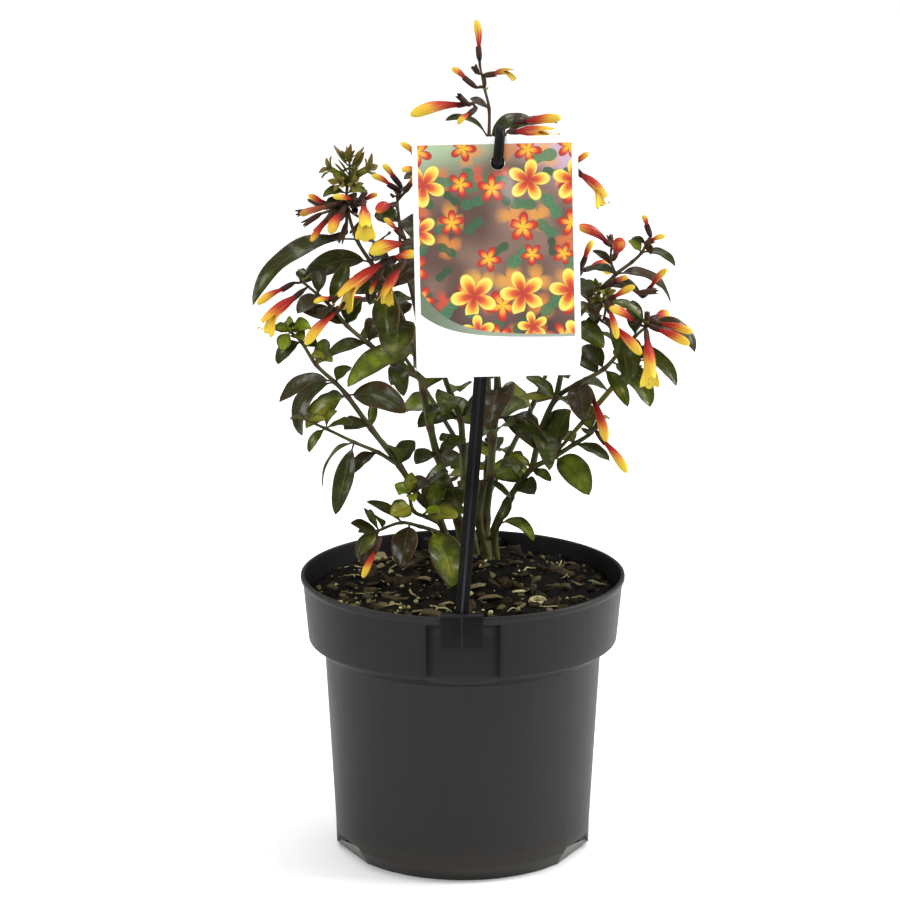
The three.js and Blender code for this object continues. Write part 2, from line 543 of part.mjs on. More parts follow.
// Bark chips lie half sunk in the surface, turned every way.
function barkChip(number) {
  const turn = 2 * Math.PI * (number * 0.382 + 0.1 * scatter(number));
  const out = 12 + 46 * Math.sqrt((number + 0.5) / chipCount);
  const x = out * Math.cos(turn);
  const y = out * Math.sin(turn);
  const chipLength = 6 + 8 * scatter(number + 40);
  const chipWidth = 3 + 3 * scatter(number + 80);
  const chip = new THREE.BoxGeometry(chipLength, chipWidth, chipThickness)
    .rotateX(0.35 * (scatter(number + 120) - 0.5))
    .rotateY(0.5 * (scatter(number + 160) - 0.5))
    .rotateZ(Math.PI * scatter(number + 200));
  return { solid: solidOf(chip.translate(x, y, soilHeight(x, y) + 0.1)), x, y };
}

function makeSoil(stemFeet) {
  let soil = soilBody();
  for (let number = 0; number < chipCount; number += 1) {
    const chip = barkChip(number);
    const nearStem = stemFeet.some(({ foot }) => (
      Math.hypot(foot.x - chip.x, foot.y - chip.y) < chipClear));
    if (!nearStem) soil = soil.add(chip.solid);
  }
  const margin = wall + gap;
  [-1, 1].forEach((side) => {
    soil = soil.subtract(recessCut(side, margin, recessTop));
  });
  stemFeet.forEach(({ foot, next, radius }) => {
    const bottom = foot.clone().setZ(foot.z - stemDepth - gap);
    const hole = tube([bottom, foot, next], Array(3).fill(radius + holeRoom), holeSides);
    soil = soil.subtract(solidOf(hole));
  });
  return geometryOf(soil);
}

// ---- label ----

// The stake clips over the rim, runs up behind the card and hooks over its top edge.
const labelFoot = new THREE.Vector3(-0.6, -rimRadius + 0.6, clipTop);

const labelFrame = new THREE.Group();
labelFrame.position.copy(labelFoot);
labelFrame.rotation.x = radians(labelLean);
labelFrame.updateMatrixWorld();

function makeCard() {
  const outline = new THREE.Shape();
  const left = -cardWidth / 2;
  const right = cardWidth / 2;
  const bottom = cardHoleDrop - cardHeight;
  const top = cardHoleDrop;
  outline.moveTo(left + cardCorner, bottom);
  outline.lineTo(right - cardCorner, bottom);
  outline.quadraticCurveTo(right, bottom, right, bottom + cardCorner);
  outline.lineTo(right, top - cardCorner);
  outline.quadraticCurveTo(right, top, right - cardCorner, top);
  outline.lineTo(left + cardCorner, top);
  outline.quadraticCurveTo(left, top, left, top - cardCorner);
  outline.lineTo(left, bottom + cardCorner);
  outline.quadraticCurveTo(left, bottom, left + cardCorner, bottom);
  const hole = new THREE.Path();
  hole.absarc(cardHoleShift, 0, cardHoleRadius, 0, 2 * Math.PI);
  outline.holes.push(hole);
  const settings = { depth: cardThickness, bevelEnabled: false, curveSegments: 5 };
  return new THREE.ExtrudeGeometry(outline, settings)
    .translate(-cardHoleShift, 0, -cardThickness / 2)
    .rotateX(Math.PI / 2);
}

// In the stake's own frame the card's middle plane is y = 0 and the stake stands behind it.
function makeStake() {
  const back = cardThickness / 2 + gap;
  const sunk = 0.2;
  const top = holeHeight + cardHoleDrop + stakeAbove;
  const middle = back + ridgeHeight + stakeThickness / 2;
  const ridgeMiddle = back + ridgeHeight / 2 + sunk / 2;
  const ribMiddle = middle + ribDepth / 2 + sunk;
  const ribLength = top - hookStart;
  const bar = solidOf(box(stakeWidth, stakeThickness, top, 0, middle, top / 2));
  const frontRidge = solidOf(box(ridgeWidth, ridgeHeight + sunk, top, 0, ridgeMiddle, top / 2));
  const backRib = solidOf(box(ribWidth, ribDepth, ribLength, 0, ribMiddle, ribLength / 2));
  const front = -(cardThickness / 2 + gap + hookRadius);
  const behind = back + hookRadius;
  const reach = (behind - front) / 2;
  const route = [new THREE.Vector3(0, behind, top - hookStart)];
  for (let step = 0; step <= hookSteps; step += 1) {
    const turn = Math.PI * step / hookSteps;
    route.push(new THREE.Vector3(0, (front + behind) / 2 + reach * Math.cos(turn),
      top - 1 + reach * Math.sin(turn)));
  }
  route.push(new THREE.Vector3(0, front, holeHeight + 1));
  const hook = solidOf(tubeAcross(route, hookRadius, barSides));
  const pegLength = hookRadius + gap + cardThickness;
  const pegRadius = hookRadius * pegShare;
  const peg = new THREE.CylinderGeometry(pegRadius, pegRadius, pegLength, barSides)
    .translate(0, front + pegLength / 2, holeHeight + pegRise);
  const stake = joinAll([bar, frontRidge, backRib, hook, solidOf(peg)]);
  return geometryOf(stake).rotateY(radians(stakeLean));
}

// A round bar bent in the YZ plane.
function tubeAcross(centres, radius, sides) {
  const across = new THREE.Vector3(1, 0, 0);
  const rings = centres.map((centre, i) => {
    const ahead = centres[Math.min(i + 1, centres.length - 1)];
    const behind = centres[Math.max(i - 1, 0)];
    const along = ahead.clone().sub(behind).normalize();
    return ringAt(centre, across, along.clone().cross(across), radius, sides);
  });
  return skin(rings);
}

// The clip: a plate outside the rim, a bridge over it and a short lip inside.
function makeClip() {
  const half = clipThickness / 2;
  const outside = -rimRadius - gap - half;
  const inside = -Math.sqrt((rimRadius - rimWall) ** 2 - (clipWidth / 2) ** 2) + gap + half;
  const depth = inside - outside;
  const bridgeMiddle = clipTop - bridgeThickness / 2;
  const plate = box(clipWidth, clipThickness, clipDrop, 0, outside, clipTop - clipDrop / 2);
  const bridge = box(clipWidth, depth + clipThickness, bridgeThickness, 0, outside + depth / 2,
    bridgeMiddle);
  const lip = box(clipWidth, clipThickness, lipDrop, 0, inside, clipTop - lipDrop / 2);
  return [plate, bridge, lip].map((piece) => solidOf(piece.translate(labelFoot.x, 0, 0)));
}

function makeStakeAndClip() {
  const stake = makeStake().applyMatrix4(labelFrame.matrixWorld);
  return geometryOf(joinAll([solidOf(stake), ...makeClip()]));
}

function makeHungCard() {
  const hole = new THREE.Vector3(0, 0, holeHeight)
    .applyAxisAngle(new THREE.Vector3(0, 1, 0), radians(stakeLean));
  return makeCard()
    .rotateY(radians(cardSwing))
    .translate(hole.x, hole.y, hole.z)
    .applyMatrix4(labelFrame.matrixWorld);
}

// ---- the shoots ----

// A point along a shoot, on the smooth curve through its points. What grows at the very tip
// is rooted a little below it.
function pointOn(shoot, place) {
  const last = shoot.points.length - 1;
  return shoot.curve.getPoint(Math.min(place, last - tipInset) / last);
}

// A shoot's stem: a tapered tube that starts inside its parent, or down in the soil.
function stemCentres(shoot) {
  const last = shoot.points.length - 1;
  const centres = shoot.points.map((point) => point.clone());
  const radii = centres.map((_, i) => THREE.MathUtils.lerp(shoot.footRadius, shoot.tipRadius, i / last));
  if (shoot.rooted) {
    centres.unshift(centres[0].clone().setZ(centres[0].z - stemDepth));
    radii.unshift(shoot.footRadius);
  }
  return { centres, radii };
}

// A leaf's spine arches through an even bend; this is the place and direction at share t of it.
function spineAt(leaf, t) {
  const bend = radians(leaf.sag || 1);
  const rise = radians(leaf.rise);
  const out = leaf.length / bend * (Math.sin(rise) - Math.sin(rise - bend * t));
  const up = leaf.length / bend * (Math.cos(rise - bend * t) - Math.cos(rise));
  const compass = radians(leaf.compass);
  const centre = leaf.root.clone();
  centre.x += out * Math.cos(compass);
  centre.y += out * Math.sin(compass);
  centre.z += up;
  const along = heading(leaf.compass, leaf.rise - leaf.sag * t);
  const across = new THREE.Vector3(-Math.sin(compass), Math.cos(compass), 0);
  const face = along.clone().cross(across);
  const roll = radians(leaf.roll);
  return {
    centre,
    across: across.clone().multiplyScalar(Math.cos(roll)).addScaledVector(face, Math.sin(roll)),
    face: face.multiplyScalar(Math.cos(roll)).addScaledVector(across, -Math.sin(roll)),
  };
}

// Half the width of a blade: nothing along the stalk, then a pointed oval.
function halfWidth(leaf, t) {
  const share = Math.max(0, (t - petioleShare) / (1 - petioleShare));
  return leaf.width / 2 * Math.sin(Math.PI * share ** widestEarly) ** ovalFullness;
}

// Where along a leaf its rings lie: a longer leaf has more of them.
const leafStations = [
  { upTo: 14, stations: [0.2, 0.55] },
  { upTo: 26, stations: [0.15, 0.4, 0.72] },
  { upTo: Infinity, stations: [0.13, 0.32, 0.58, 0.82] },
];

// A leaf has four corners to a ring: two edges, the face and the back. Margin makes it stouter.
function leafSkin(leaf, margin = 0, bladeOnly = false) {
  const { stations } = leafStations.find(({ upTo }) => leaf.length <= upTo);
  const rings = stations.map((t) => {
    const { centre, across, face } = spineAt(leaf, t);
    const wide = Math.max(halfWidth(leaf, t), petioleHalf) + margin;
    const edge = face.clone().multiplyScalar(wide * Math.sin(radians(leafFold)));
    const thick = leafThickness / 2 + margin;
    const reach = wide * Math.cos(radians(leafFold));
    return [
      centre.clone().addScaledVector(across, reach).add(edge),
      centre.clone().addScaledVector(face, thick),
      centre.clone().addScaledVector(across, -reach).add(edge),
      centre.clone().addScaledVector(face, -thick),
    ];
  });
  if (!bladeOnly) rings.unshift([spineAt(leaf, -rootDepth / leaf.length).centre]);
  rings.push([spineAt(leaf, 1 + margin / leaf.length).centre]);
  return skin(rings, true);
}

// A bloom's stalk is one bow from the stem to the foot of the bloom, and swells into the calyx.
function bloomBase(bloom) {
  return bloom.root.clone().addScaledVector(heading(bloom.stalkCompass, bloom.stalkRise), bloom.reach);
}

const bloomShapes = {
  bud: { slim: 0.145, stations: [0, 0.35, 0.8, 1], swell: [0.45, 0.85, 1, 0] },
  fat: { slim: 0.21, stations: [0, 0.3, 0.8, 1], swell: [0.45, 0.95, 1, 0] },
  open: { slim: 0.15, stations: [0, 0.4, 0.68], swell: [0.45, 0.9, 1] },
  wilted: { slim: 0.12, stations: [0, 0.4, 0.85, 1], swell: [0.5, 0.75, 1, 0] },
  small: { slim: 0.17 },
  calyx: { slim: 0.2 },
};

const isFused = (bloom) => bloom.kind === "small" || bloom.kind === "calyx";

function bloomRadius(bloom) {
  return THREE.MathUtils.clamp(bloom.length * bloomShapes[bloom.kind].slim, 1.3, 3.3);
}

// The stalk with its calyx. A small bud is part of the same solid, as its pointed end.
function stalkSkin(bloom, calyxOnly = false) {
  const base = bloomBase(bloom);
  const along = heading(bloom.compass, bloom.rise);
  const calyxFoot = Math.min(calyxLength, calyxShare * bloom.reach);
  const stalkFoot = bloom.root.clone()
    .addScaledVector(heading(bloom.stalkCompass, bloom.stalkRise), -rootDepth);
  const centres = [stalkFoot, base.clone().addScaledVector(along, -calyxFoot), base];
  const radii = [0, stalkRadius, calyxRadius];
  if (isFused(bloom)) {
    centres.push(base.clone().addScaledVector(along, bloom.length * budWidest));
    centres.push(base.clone().addScaledVector(along, bloom.length));
    radii.push(bloomRadius(bloom), 0);
  }
  return tube(centres.slice(calyxOnly ? 1 : 0), radii.slice(calyxOnly ? 1 : 0), 4);
}

// The mouth of an open bloom, as [angle round the tube, radius, share of the length]: the upper
// lip points forward in two teeth, the sides are slit, and the lower lip flares down.
const mouth = [[0, 0.8, 0.72], [65, 0.75, 1], [115, 0.75, 1], [180, 0.8, 0.72], [235, 1.9, 0.9],
  [305, 1.9, 0.9]];

// The tube of a bloom stands just clear of its calyx. Buds end in a point. A stouter copy starts
// a little further down, but stays off the calyx.
function corollaSkin(bloom, margin = 0) {
  const shape = bloomShapes[bloom.kind];
  const along = heading(bloom.compass, bloom.rise);
  const across = heading(bloom.compass + 90, 0);
  const up = along.clone().cross(across);
  const foot = bloomBase(bloom).addScaledVector(along, gap - margin * stoutShare);
  const length = bloom.length - gap + margin;
  const isOpen = bloom.kind === "open";
  const sides = isOpen || bloom.length > longBloom ? 6 : 5;
  const rings = shape.stations.map((t, i) => {
    const centre = foot.clone().addScaledVector(along, length * t);
    const radius = shape.swell[i] * bloomRadius(bloom);
    return radius ? ringAt(centre, across, up, radius + margin, sides) : [centre];
  });
  if (isOpen) {
    rings.push(mouth.map(([angle, swell, t]) => foot.clone()
      .addScaledVector(along, length * t)
      .addScaledVector(across, Math.cos(radians(angle)) * (swell * bloomRadius(bloom) + margin))
      .addScaledVector(up, Math.sin(radians(angle)) * (swell * bloomRadius(bloom) + margin))));
  }
  return skin(rings);
}

// ---- keeping clear of each other ----

// Turns, lifts and shortenings that a leaf or bloom may take, the smallest first.
const moves = [];
for (const size of [1, 0.84, 0.68]) {
  for (const away of [0, 10, 20, 30, 45]) {
    const turns = away ? [[away, 0], [-away, 0], [0, away], [0, -away],
      [away, away], [-away, away], [away, -away], [-away, -away]] : [[0, 0]];
    turns.forEach(([turn, lift]) => moves.push({ turn, lift, size }));
  }
}

const placed = [];

function boxOf(geometry) {
  geometry.computeBoundingBox();
  return geometry.boundingBox;
}

function meet(one, other) {
  const shared = one.intersect(other);
  const met = !shared.isEmpty();
  shared.delete();
  return met;
}

// A piece is clear if its stouter copy meets no other piece. Within its own node only the
// blades and blooms are kept apart, and a piece may touch the stem that it grows from.
function isClear(piece) {
  return placed.every((other) => {
    if (!piece.reach.intersectsBox(other.reach)) return true;
    if (other.owner === piece.owner && other.isStem) return true;
    if (other.node === piece.node) return !meet(piece.stoutTop, other.top);
    return !meet(piece.stout, other.whole);
  });
}

// A leaf takes the first move that leaves it clear.
function placeLeaf(row, shoot) {
  for (const { turn, lift, size } of moves) {
    const leaf = { ...row, compass: row.compass + turn, rise: row.rise + lift,
      length: row.length * size, width: row.width * size };
    const stoutSkin = leafSkin(leaf, clearance);
    const piece = { node: shoot.node, owner: shoot.name, reach: boxOf(stoutSkin),
      stout: solidOf(stoutSkin), stoutTop: solidOf(leafSkin(leaf, gap, true)) };
    if (isClear(piece)) {
      piece.whole = solidOf(leafSkin(leaf));
      piece.top = solidOf(leafSkin(leaf, 0, true));
      placed.push(piece);
      return;
    }
  }
}

// So does a bloom, with its stalk and calyx, which belong to the shoot.
function placeBloom(row, shoot, name) {
  for (const { turn, lift, size } of moves) {
    const bloom = { ...row, compass: row.compass + turn, rise: row.rise + lift,
      stalkCompass: row.stalkCompass + turn, stalkRise: row.stalkRise + lift,
      length: row.length * size };
    const stalk = solidOf(stalkSkin(bloom));
    const calyx = solidOf(stalkSkin(bloom, true));
    const reach = boxOf(stalkSkin(bloom));
    const pieces = [{ node: shoot.node, owner: shoot.name, reach,
      stout: stalk, stoutTop: calyx, whole: stalk, top: calyx }];
    if (!isFused(bloom)) {
      const stoutSkin = corollaSkin(bloom, clearance);
      const stout = solidOf(stoutSkin);
      const whole = solidOf(corollaSkin(bloom));
      pieces.push({ node: name, owner: name, reach: boxOf(stoutSkin),
        stout, stoutTop: stout, whole, top: whole });
    }
    if (pieces.every(isClear)) {
      placed.push(...pieces);
      return;
    }
  }
}

// ---- growing the plant ----

const plant = shoots.map(([name, node, footRadius, tipRadius, knots, leaves, pairs, blooms]) => {
  const points = knots.map(([x, y, z]) => new THREE.Vector3(x, y, z));
  const curve = new THREE.CatmullRomCurve3(points, false, "catmullrom", 0.5);
  const rooted = rootedShoots.includes(name);
  return { name, node, footRadius, tipRadius, points, curve, rooted, leaves, pairs, blooms };
});

const stemFeet = plant.filter((shoot) => shoot.rooted)
  .map((shoot) => ({ foot: shoot.points[0], next: shoot.points[1], radius: shoot.footRadius }));

// A leaf is twisted on its stalk, so that its face shows from the front, and a little at random.
function leafRow(shoot, place, compass, rise, sag, length, width = length * pairWidth) {
  const twist = frontTwist * Math.cos(radians(compass))
    + looseTwist * (scatter(place * 7 + compass + length) - 0.5);
  return { root: pointOn(shoot, place), compass, rise, sag, length, width, roll: twist };
}

function bloomRow(shoot, place, stalkCompass, stalkRise, reach, compass, rise, length, kind) {
  return { root: pointOn(shoot, place), stalkCompass, stalkRise, reach, compass, rise, length, kind };
}

function placeFixed(node, geometry) {
  const solid = solidOf(geometry);
  placed.push({ node, owner: node, isStem: true, reach: boxOf(geometry), whole: solid, top: solid });
}

const potGeometry = makePot();
const soilGeometry = makeSoil(stemFeet);
const stakeGeometry = makeStakeAndClip();
const cardGeometry = makeHungCard();
placeFixed("pot", potGeometry);
placeFixed("soil", soilGeometry);
placeFixed("label_stake", stakeGeometry);
placeFixed("label_card", cardGeometry);

plant.forEach((shoot) => {
  const { centres, radii } = stemCentres(shoot);
  const geometry = tube(centres, radii, stemSides);
  const solid = solidOf(geometry);
  placed.push({ node: shoot.node, owner: shoot.name, isStem: true, reach: boxOf(geometry),
    whole: solid, top: solid });
});

plant.forEach((shoot) => {
  shoot.blooms.forEach((row, i) => {
    placeBloom(bloomRow(shoot, ...row), shoot, `bloom_${shoot.name}_${i + 1}`);
  });
});
plant.forEach((shoot) => {
  shoot.leaves.forEach((row) => placeLeaf(leafRow(shoot, ...row), shoot));
});
plant.forEach((shoot) => {
  shoot.pairs.forEach(([place, compass, rise, sag, length, opposite]) => {
    if (length) placeLeaf(leafRow(shoot, place, compass, rise, sag, length), shoot);
    if (opposite) placeLeaf(leafRow(shoot, place, compass + 180, rise, sag, opposite), shoot);
  });
});

// ---- the assembled group ----

const finishes = {
  pot: { color: 0x34332f, roughness: 0.55 },
  soil: { color: 0x2a2019, roughness: 0.95 },
  label_stake: { color: 0x1b1b1b, roughness: 0.4 },
  label_card: { color: 0xe9e7df, roughness: 0.35 },
  stem: { color: 0x46562c, roughness: 0.5 },
  bloom: { color: 0xe0561f, roughness: 0.5 },
};

function finishOf(name) {
  if (finishes[name]) return finishes[name];
  return name.startsWith("stem_") ? finishes.stem : finishes.bloom;
}

function meshOf(name, geometry) {
  const material = new THREE.MeshStandardMaterial({ ...finishOf(name), metalness: 0 });
  const mesh = new THREE.Mesh(geometry, material);
  mesh.name = name;
  return mesh;
}

const part = new THREE.Group();
part.add(meshOf("pot", potGeometry));
part.add(meshOf("soil", soilGeometry));
part.add(meshOf("label_stake", stakeGeometry));
part.add(meshOf("label_card", cardGeometry));

const grown = new Map();
placed.filter((piece) => !finishes[piece.node]).forEach((piece) => {
  grown.set(piece.node, [...(grown.get(piece.node) ?? []), piece.whole]);
});
grown.forEach((solids, name) => {
  part.add(meshOf(name, geometryOf(joinAll(solids))));
});

export default part;
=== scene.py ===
# A jacobinia in bloom, in its nursery pot with a picture label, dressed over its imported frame.
# Rows and settings are in millimetres and degrees; a mesh is scaled to metres as it is made.
import math
import bpy
import numpy as np
from mathutils.kdtree import KDTree
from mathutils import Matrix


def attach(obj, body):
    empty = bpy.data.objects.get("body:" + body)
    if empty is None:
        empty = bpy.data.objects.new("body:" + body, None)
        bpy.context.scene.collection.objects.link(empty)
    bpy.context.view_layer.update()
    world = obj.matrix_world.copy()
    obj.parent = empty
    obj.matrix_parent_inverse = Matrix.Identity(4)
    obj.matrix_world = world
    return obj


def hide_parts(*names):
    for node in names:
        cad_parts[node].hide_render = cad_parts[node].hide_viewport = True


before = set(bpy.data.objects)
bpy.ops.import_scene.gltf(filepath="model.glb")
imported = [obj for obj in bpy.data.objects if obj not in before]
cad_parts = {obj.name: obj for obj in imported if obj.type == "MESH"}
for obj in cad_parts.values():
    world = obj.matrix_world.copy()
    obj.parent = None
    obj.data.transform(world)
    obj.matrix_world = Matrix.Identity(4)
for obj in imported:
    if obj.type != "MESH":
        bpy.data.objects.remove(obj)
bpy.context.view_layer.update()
mm = 0.001


# Numbers and lines

def ease(low, high, x):  # a smooth step from 0 at low to 1 at high
    s = np.clip((x - low) / (high - low), 0, 1)
    return s * s * (3 - 2 * s)


def scatter(seed):  # an even, repeatable scatter between 0 and 1
    value = np.sin(seed * 12.9898) * 43758.5453
    return value - np.floor(value)


def heading(compass, rise):  # the direction at an angle from +X towards +Y, raised above level
    c, r = np.radians(compass), np.radians(rise)
    return np.stack(np.broadcast_arrays(np.cos(r) * np.cos(c), np.cos(r) * np.sin(c), np.sin(r)), -1)


def unit(v):
    return v / np.maximum(np.linalg.norm(v, axis=-1, keepdims=True), 1e-9)


def curveAt(knots, places):  # the smooth line through the knots, with a place counted in knots
    knots = np.asarray(knots, float)
    ends = np.vstack([2 * knots[0] - knots[1], knots, 2 * knots[-1] - knots[-2]])
    i = np.clip(np.floor(places).astype(int), 0, len(knots) - 2)
    f = (places - i)[..., None]
    p0, p1, p2, p3 = ends[i], ends[i + 1], ends[i + 2], ends[i + 3]
    v1, v2 = (p2 - p0) / 2, (p3 - p1) / 2
    return (2 * p1 - 2 * p2 + v1 + v2) * f ** 3 + (3 * p2 - 3 * p1 - 2 * v1 - v2) * f ** 2 + v1 * f + p1


def softened(corners, size, steps=3, closed=False):  # each corner is cut by a curve of that size
    corners = np.asarray(corners, float)
    before, after = np.roll(corners, 1, 0), np.roll(corners, -1, 0)
    t = np.linspace(0, 1, steps)[None, :, None]
    reach = np.minimum(size, 0.45 * np.minimum(np.linalg.norm(before - corners, axis=1),
                                               np.linalg.norm(after - corners, axis=1)))[:, None]
    start, end = corners + unit(before - corners) * reach, corners + unit(after - corners) * reach
    bends = (start[:, None] * (1 - t) ** 2 + corners[:, None] * 2 * t * (1 - t) + end[:, None] * t ** 2)
    if closed:
        return bends.reshape(-1, corners.shape[1])
    return np.vstack([corners[:1], bends[1:-1].reshape(-1, corners.shape[1]), corners[-1:]])


def squareWays(compass, rise):  # a heading, the level way square to it and the upward one
    axis, sideways = heading(compass, rise), heading(compass + 90, 0)
    return axis, sideways, np.cross(axis, sideways)


def framed(centres, side):  # the along, across and up directions of a line, across being square to side
    along = unit(np.gradient(centres, axis=0))
    across = unit(np.cross(side, along))
    return along, across, np.cross(along, across)


def roundRings(line, side, wide, sides, tall=None):  # round or oval rings about a line
    across, up = framed(line, side)[1:]
    a = (np.arange(sides) / sides * 2 * math.pi)[:, None]
    wide = np.broadcast_to(wide, len(line))[:, None, None]
    tall = wide if tall is None else tall
    return line[:, None] + wide * across[:, None] * np.cos(a) + tall * up[:, None] * np.sin(a)


# Meshes

class Heap:
    # gathers many closed surfaces, and a few values at each of their points, into one mesh
    def __init__(self, *names):
        self.points, self.quads, self.fans, self.total = [], [], [], 0
        self.values = {name: [] for name in names}

    def tube(self, rings, first, last, **values):  # rings, closed round, with a point at each end
        rows, sides = rings.shape[:2]
        index = self.total + np.arange(rows * sides).reshape(rows, sides)
        turned = np.roll(index, -1, 1)
        start = self.total + rows * sides
        self.quads.append(np.stack([index[:-1], turned[:-1], turned[1:], index[1:]], -1).reshape(-1, 4))
        self.fans.append(np.stack([np.full(sides, start), turned[0], index[0]], -1))
        self.fans.append(np.stack([np.full(sides, start + 1), index[-1], turned[-1]], -1))
        self.points += [rings.reshape(-1, 3), np.array([first, last])]
        for name, kept in self.values.items():
            spread = np.broadcast_to(values.get(name, 0.0), (rows, sides))
            kept += [spread.ravel(), np.array([spread[0].mean(), spread[-1].mean()])]
        self.total = start + 2

    def loop(self, rings, **values):  # rings that close both ways, as a flat plate with a hole does
        rows, sides = rings.shape[:2]
        index = self.total + np.arange(rows * sides).reshape(rows, sides)
        turned, onward = np.roll(index, -1, 1), np.roll(index, -1, 0)
        both = np.roll(onward, -1, 1)
        self.quads.append(np.stack([index, turned, both, onward], -1).reshape(-1, 4))
        self.points.append(rings.reshape(-1, 3))
        for name, kept in self.values.items():
            kept.append(np.broadcast_to(values.get(name, 0.0), (rows, sides)).ravel())
        self.total += rows * sides

    def piece(self, name, finish, slot, *stands):
        mesh = bpy.data.meshes.new(name)
        faces = np.concatenate(self.quads).tolist()
        if self.fans:
            faces += np.concatenate(self.fans).tolist()
        mesh.from_pydata((np.concatenate(self.points) * mm).tolist(), [], faces)
        for valueName, kept in self.values.items():
            layer = mesh.attributes.new(valueName, "FLOAT", "POINT")
            layer.data.foreach_set("value", np.concatenate(kept).astype(np.float32))
        return dress(name, mesh, finish, slot, *stands)


def dress(name, mesh, finish, slot, *stands):
    mesh.polygons.foreach_set("use_smooth", [True] * len(mesh.polygons))
    mesh.materials.append(finish.material)
    mesh.update()
    made = bpy.data.objects.new(name, mesh)
    bpy.context.scene.collection.objects.link(made)
    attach(made, "root")
    if stands:
        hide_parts(*stands)
    print(f"{name}: {len(mesh.polygons)} faces")
    return made


# Materials

class Flow:
    # an output of a node that is added, multiplied and compared like a number
    def __init__(self, finish, node, output=0):
        self.finish, self.node, self.socket = finish, node, node.outputs[output]

    def pick(self, output):
        return Flow(self.finish, self.node, output)

    def __add__(self, other):
        return self.finish.maths("ADD", self, other)

    def __radd__(self, other):
        return self.finish.maths("ADD", other, self)

    def __sub__(self, other):
        return self.finish.maths("SUBTRACT", self, other)

    def __rsub__(self, other):
        return self.finish.maths("SUBTRACT", other, self)

    def __mul__(self, other):
        return self.finish.maths("MULTIPLY", self, other)

    def __rmul__(self, other):
        return self.finish.maths("MULTIPLY", other, self)

    def __truediv__(self, other):
        return self.finish.maths("DIVIDE", self, other)

    def __rtruediv__(self, other):
        return self.finish.maths("DIVIDE", other, self)

    def __pow__(self, other):
        return self.finish.maths("POWER", self, other)

    def __gt__(self, other):
        return self.finish.maths("GREATER_THAN", self, other)

    def __lt__(self, other):
        return self.finish.maths("LESS_THAN", self, other)


class Finish:
    # a material: fixed values go straight onto its shader, and what varies is fed by nodes
    def __init__(self, name, **fixed):
        self.material = bpy.data.materials.new(name)
        self.material.use_nodes = True
        self.tree = self.material.node_tree
        self.shader = self.tree.nodes["Principled BSDF"]
        for socket, value in fixed.items():
            self.shader.inputs[socket.replace("_", " ")].default_value = value

    def node(self, kind, settings=None, inputs=None):
        made = self.tree.nodes.new("ShaderNode" + kind)
        for key, value in (settings or {}).items():
            if key == "stops":
                ramp = made.color_ramp.elements
                for place, colour in value[1:-1]:
                    ramp.new(place).color = colour
                for element, (place, colour) in ((ramp[0], value[0]), (ramp[-1], value[-1])):
                    element.position, element.color = place, colour
            else:
                setattr(made, key, value)
        for key, value in (inputs or {}).items():
            self.feed(made.inputs[key], value)
        return Flow(self, made)

    def feed(self, socket, value):
        if isinstance(value, Flow):
            self.tree.links.new(value.socket, socket)
        else:
            socket.default_value = value

    def paint(self, **fed):
        for socket, value in fed.items():
            self.feed(self.shader.inputs[socket.replace("_", " ")], value)

    def maths(self, operation, *values):
        return self.node("Math", {"operation": operation}, dict(enumerate(values)))

    def value(self, name):
        return self.node("Attribute", {"attribute_name": name}).pick("Fac")

    def place(self):
        return self.node("TexCoord").pick("Object")

    def noise(self, vector, scale, detail=2.0, roughness=0.5):
        return self.node("TexNoise", {}, {"Vector": vector, "Scale": scale, "Detail": detail,
                                          "Roughness": roughness})

    def mix(self, factor, one, other, blend="MIX"):
        return self.node("Mix", {"data_type": "RGBA", "blend_type": blend},
                         {0: factor, 6: one, 7: other}).pick(2)

    def ramp(self, factor, *stops):
        return self.node("ValToRGB", {"stops": stops}, {0: factor})

    def ease(self, value, low, high, start=0.0, end=1.0):
        return self.node("MapRange", {"interpolation_type": "SMOOTHSTEP"},
                         {0: value, 1: low, 2: high, 3: start, 4: end})

    def bump(self, height, distance, strength=1.0):
        return self.node("Bump", {}, {"Height": height, "Distance": distance, "Strength": strength})


def tone(red, green, blue):
    return red, green, blue, 1.0


# The pot

potStyle = dict(
    rimRadius=70, height=122.8, collarRadius=66.6, collarBottom=94.4, bodyTopRadius=59.7, bodyTop=89.5,
    bandRadius=55, bandTop=7, footRadius=50, wall=1.3, rimWall=1.6, footWall=2.4,
    floorHeight=5.3, floorThickness=1.4, bossRadius=18, scuffHeight=11.2,
    recessHalf=15.5, recessTop=118.8, recessBack=63.4,
    ringHeights=(40, 65, 80, 91, 92, 92.7, 93.3, 100, 106, 112), sideColumns=74, recessColumns=13,
    notchHeight=4.8, notchRise=7.4, notchHalfTurn=20, notchTurns=(73, 131), notchReach=12,
    # from a notch's front end at -1 to its rear end at 1: the height of its top, and how many times as far
    # out as the inner wall the ring behind it lies, which is painted black as painted shade
    notchTop=((-1, 7.4), (-0.8, 9.7), (0.18, 8.7), (0.5, 2.1), (0.9, 1.9), (1, 7.4)),
    notchShadedRing=((-1, 1), (-0.35, 1), (0.15, 1.12), (0.9, 1.12), (1, 1)),
    # a sill's ends: turn from the notch's middle, then radius and height of its upper and of its lower edge
    sillRear=(11.0, (54.9, 3.8), (54.3, 1.9)), sillFront=(-19.5, (54.4, 8.4), (50.6, 0.2)),
    sillLip=0.195, sillThickness=1.3, sillLedge=4.68,
    colour=tone(0.0122, 0.0115, 0.0108), worn=tone(0.027, 0.0255, 0.024), roughness=0.44,
)


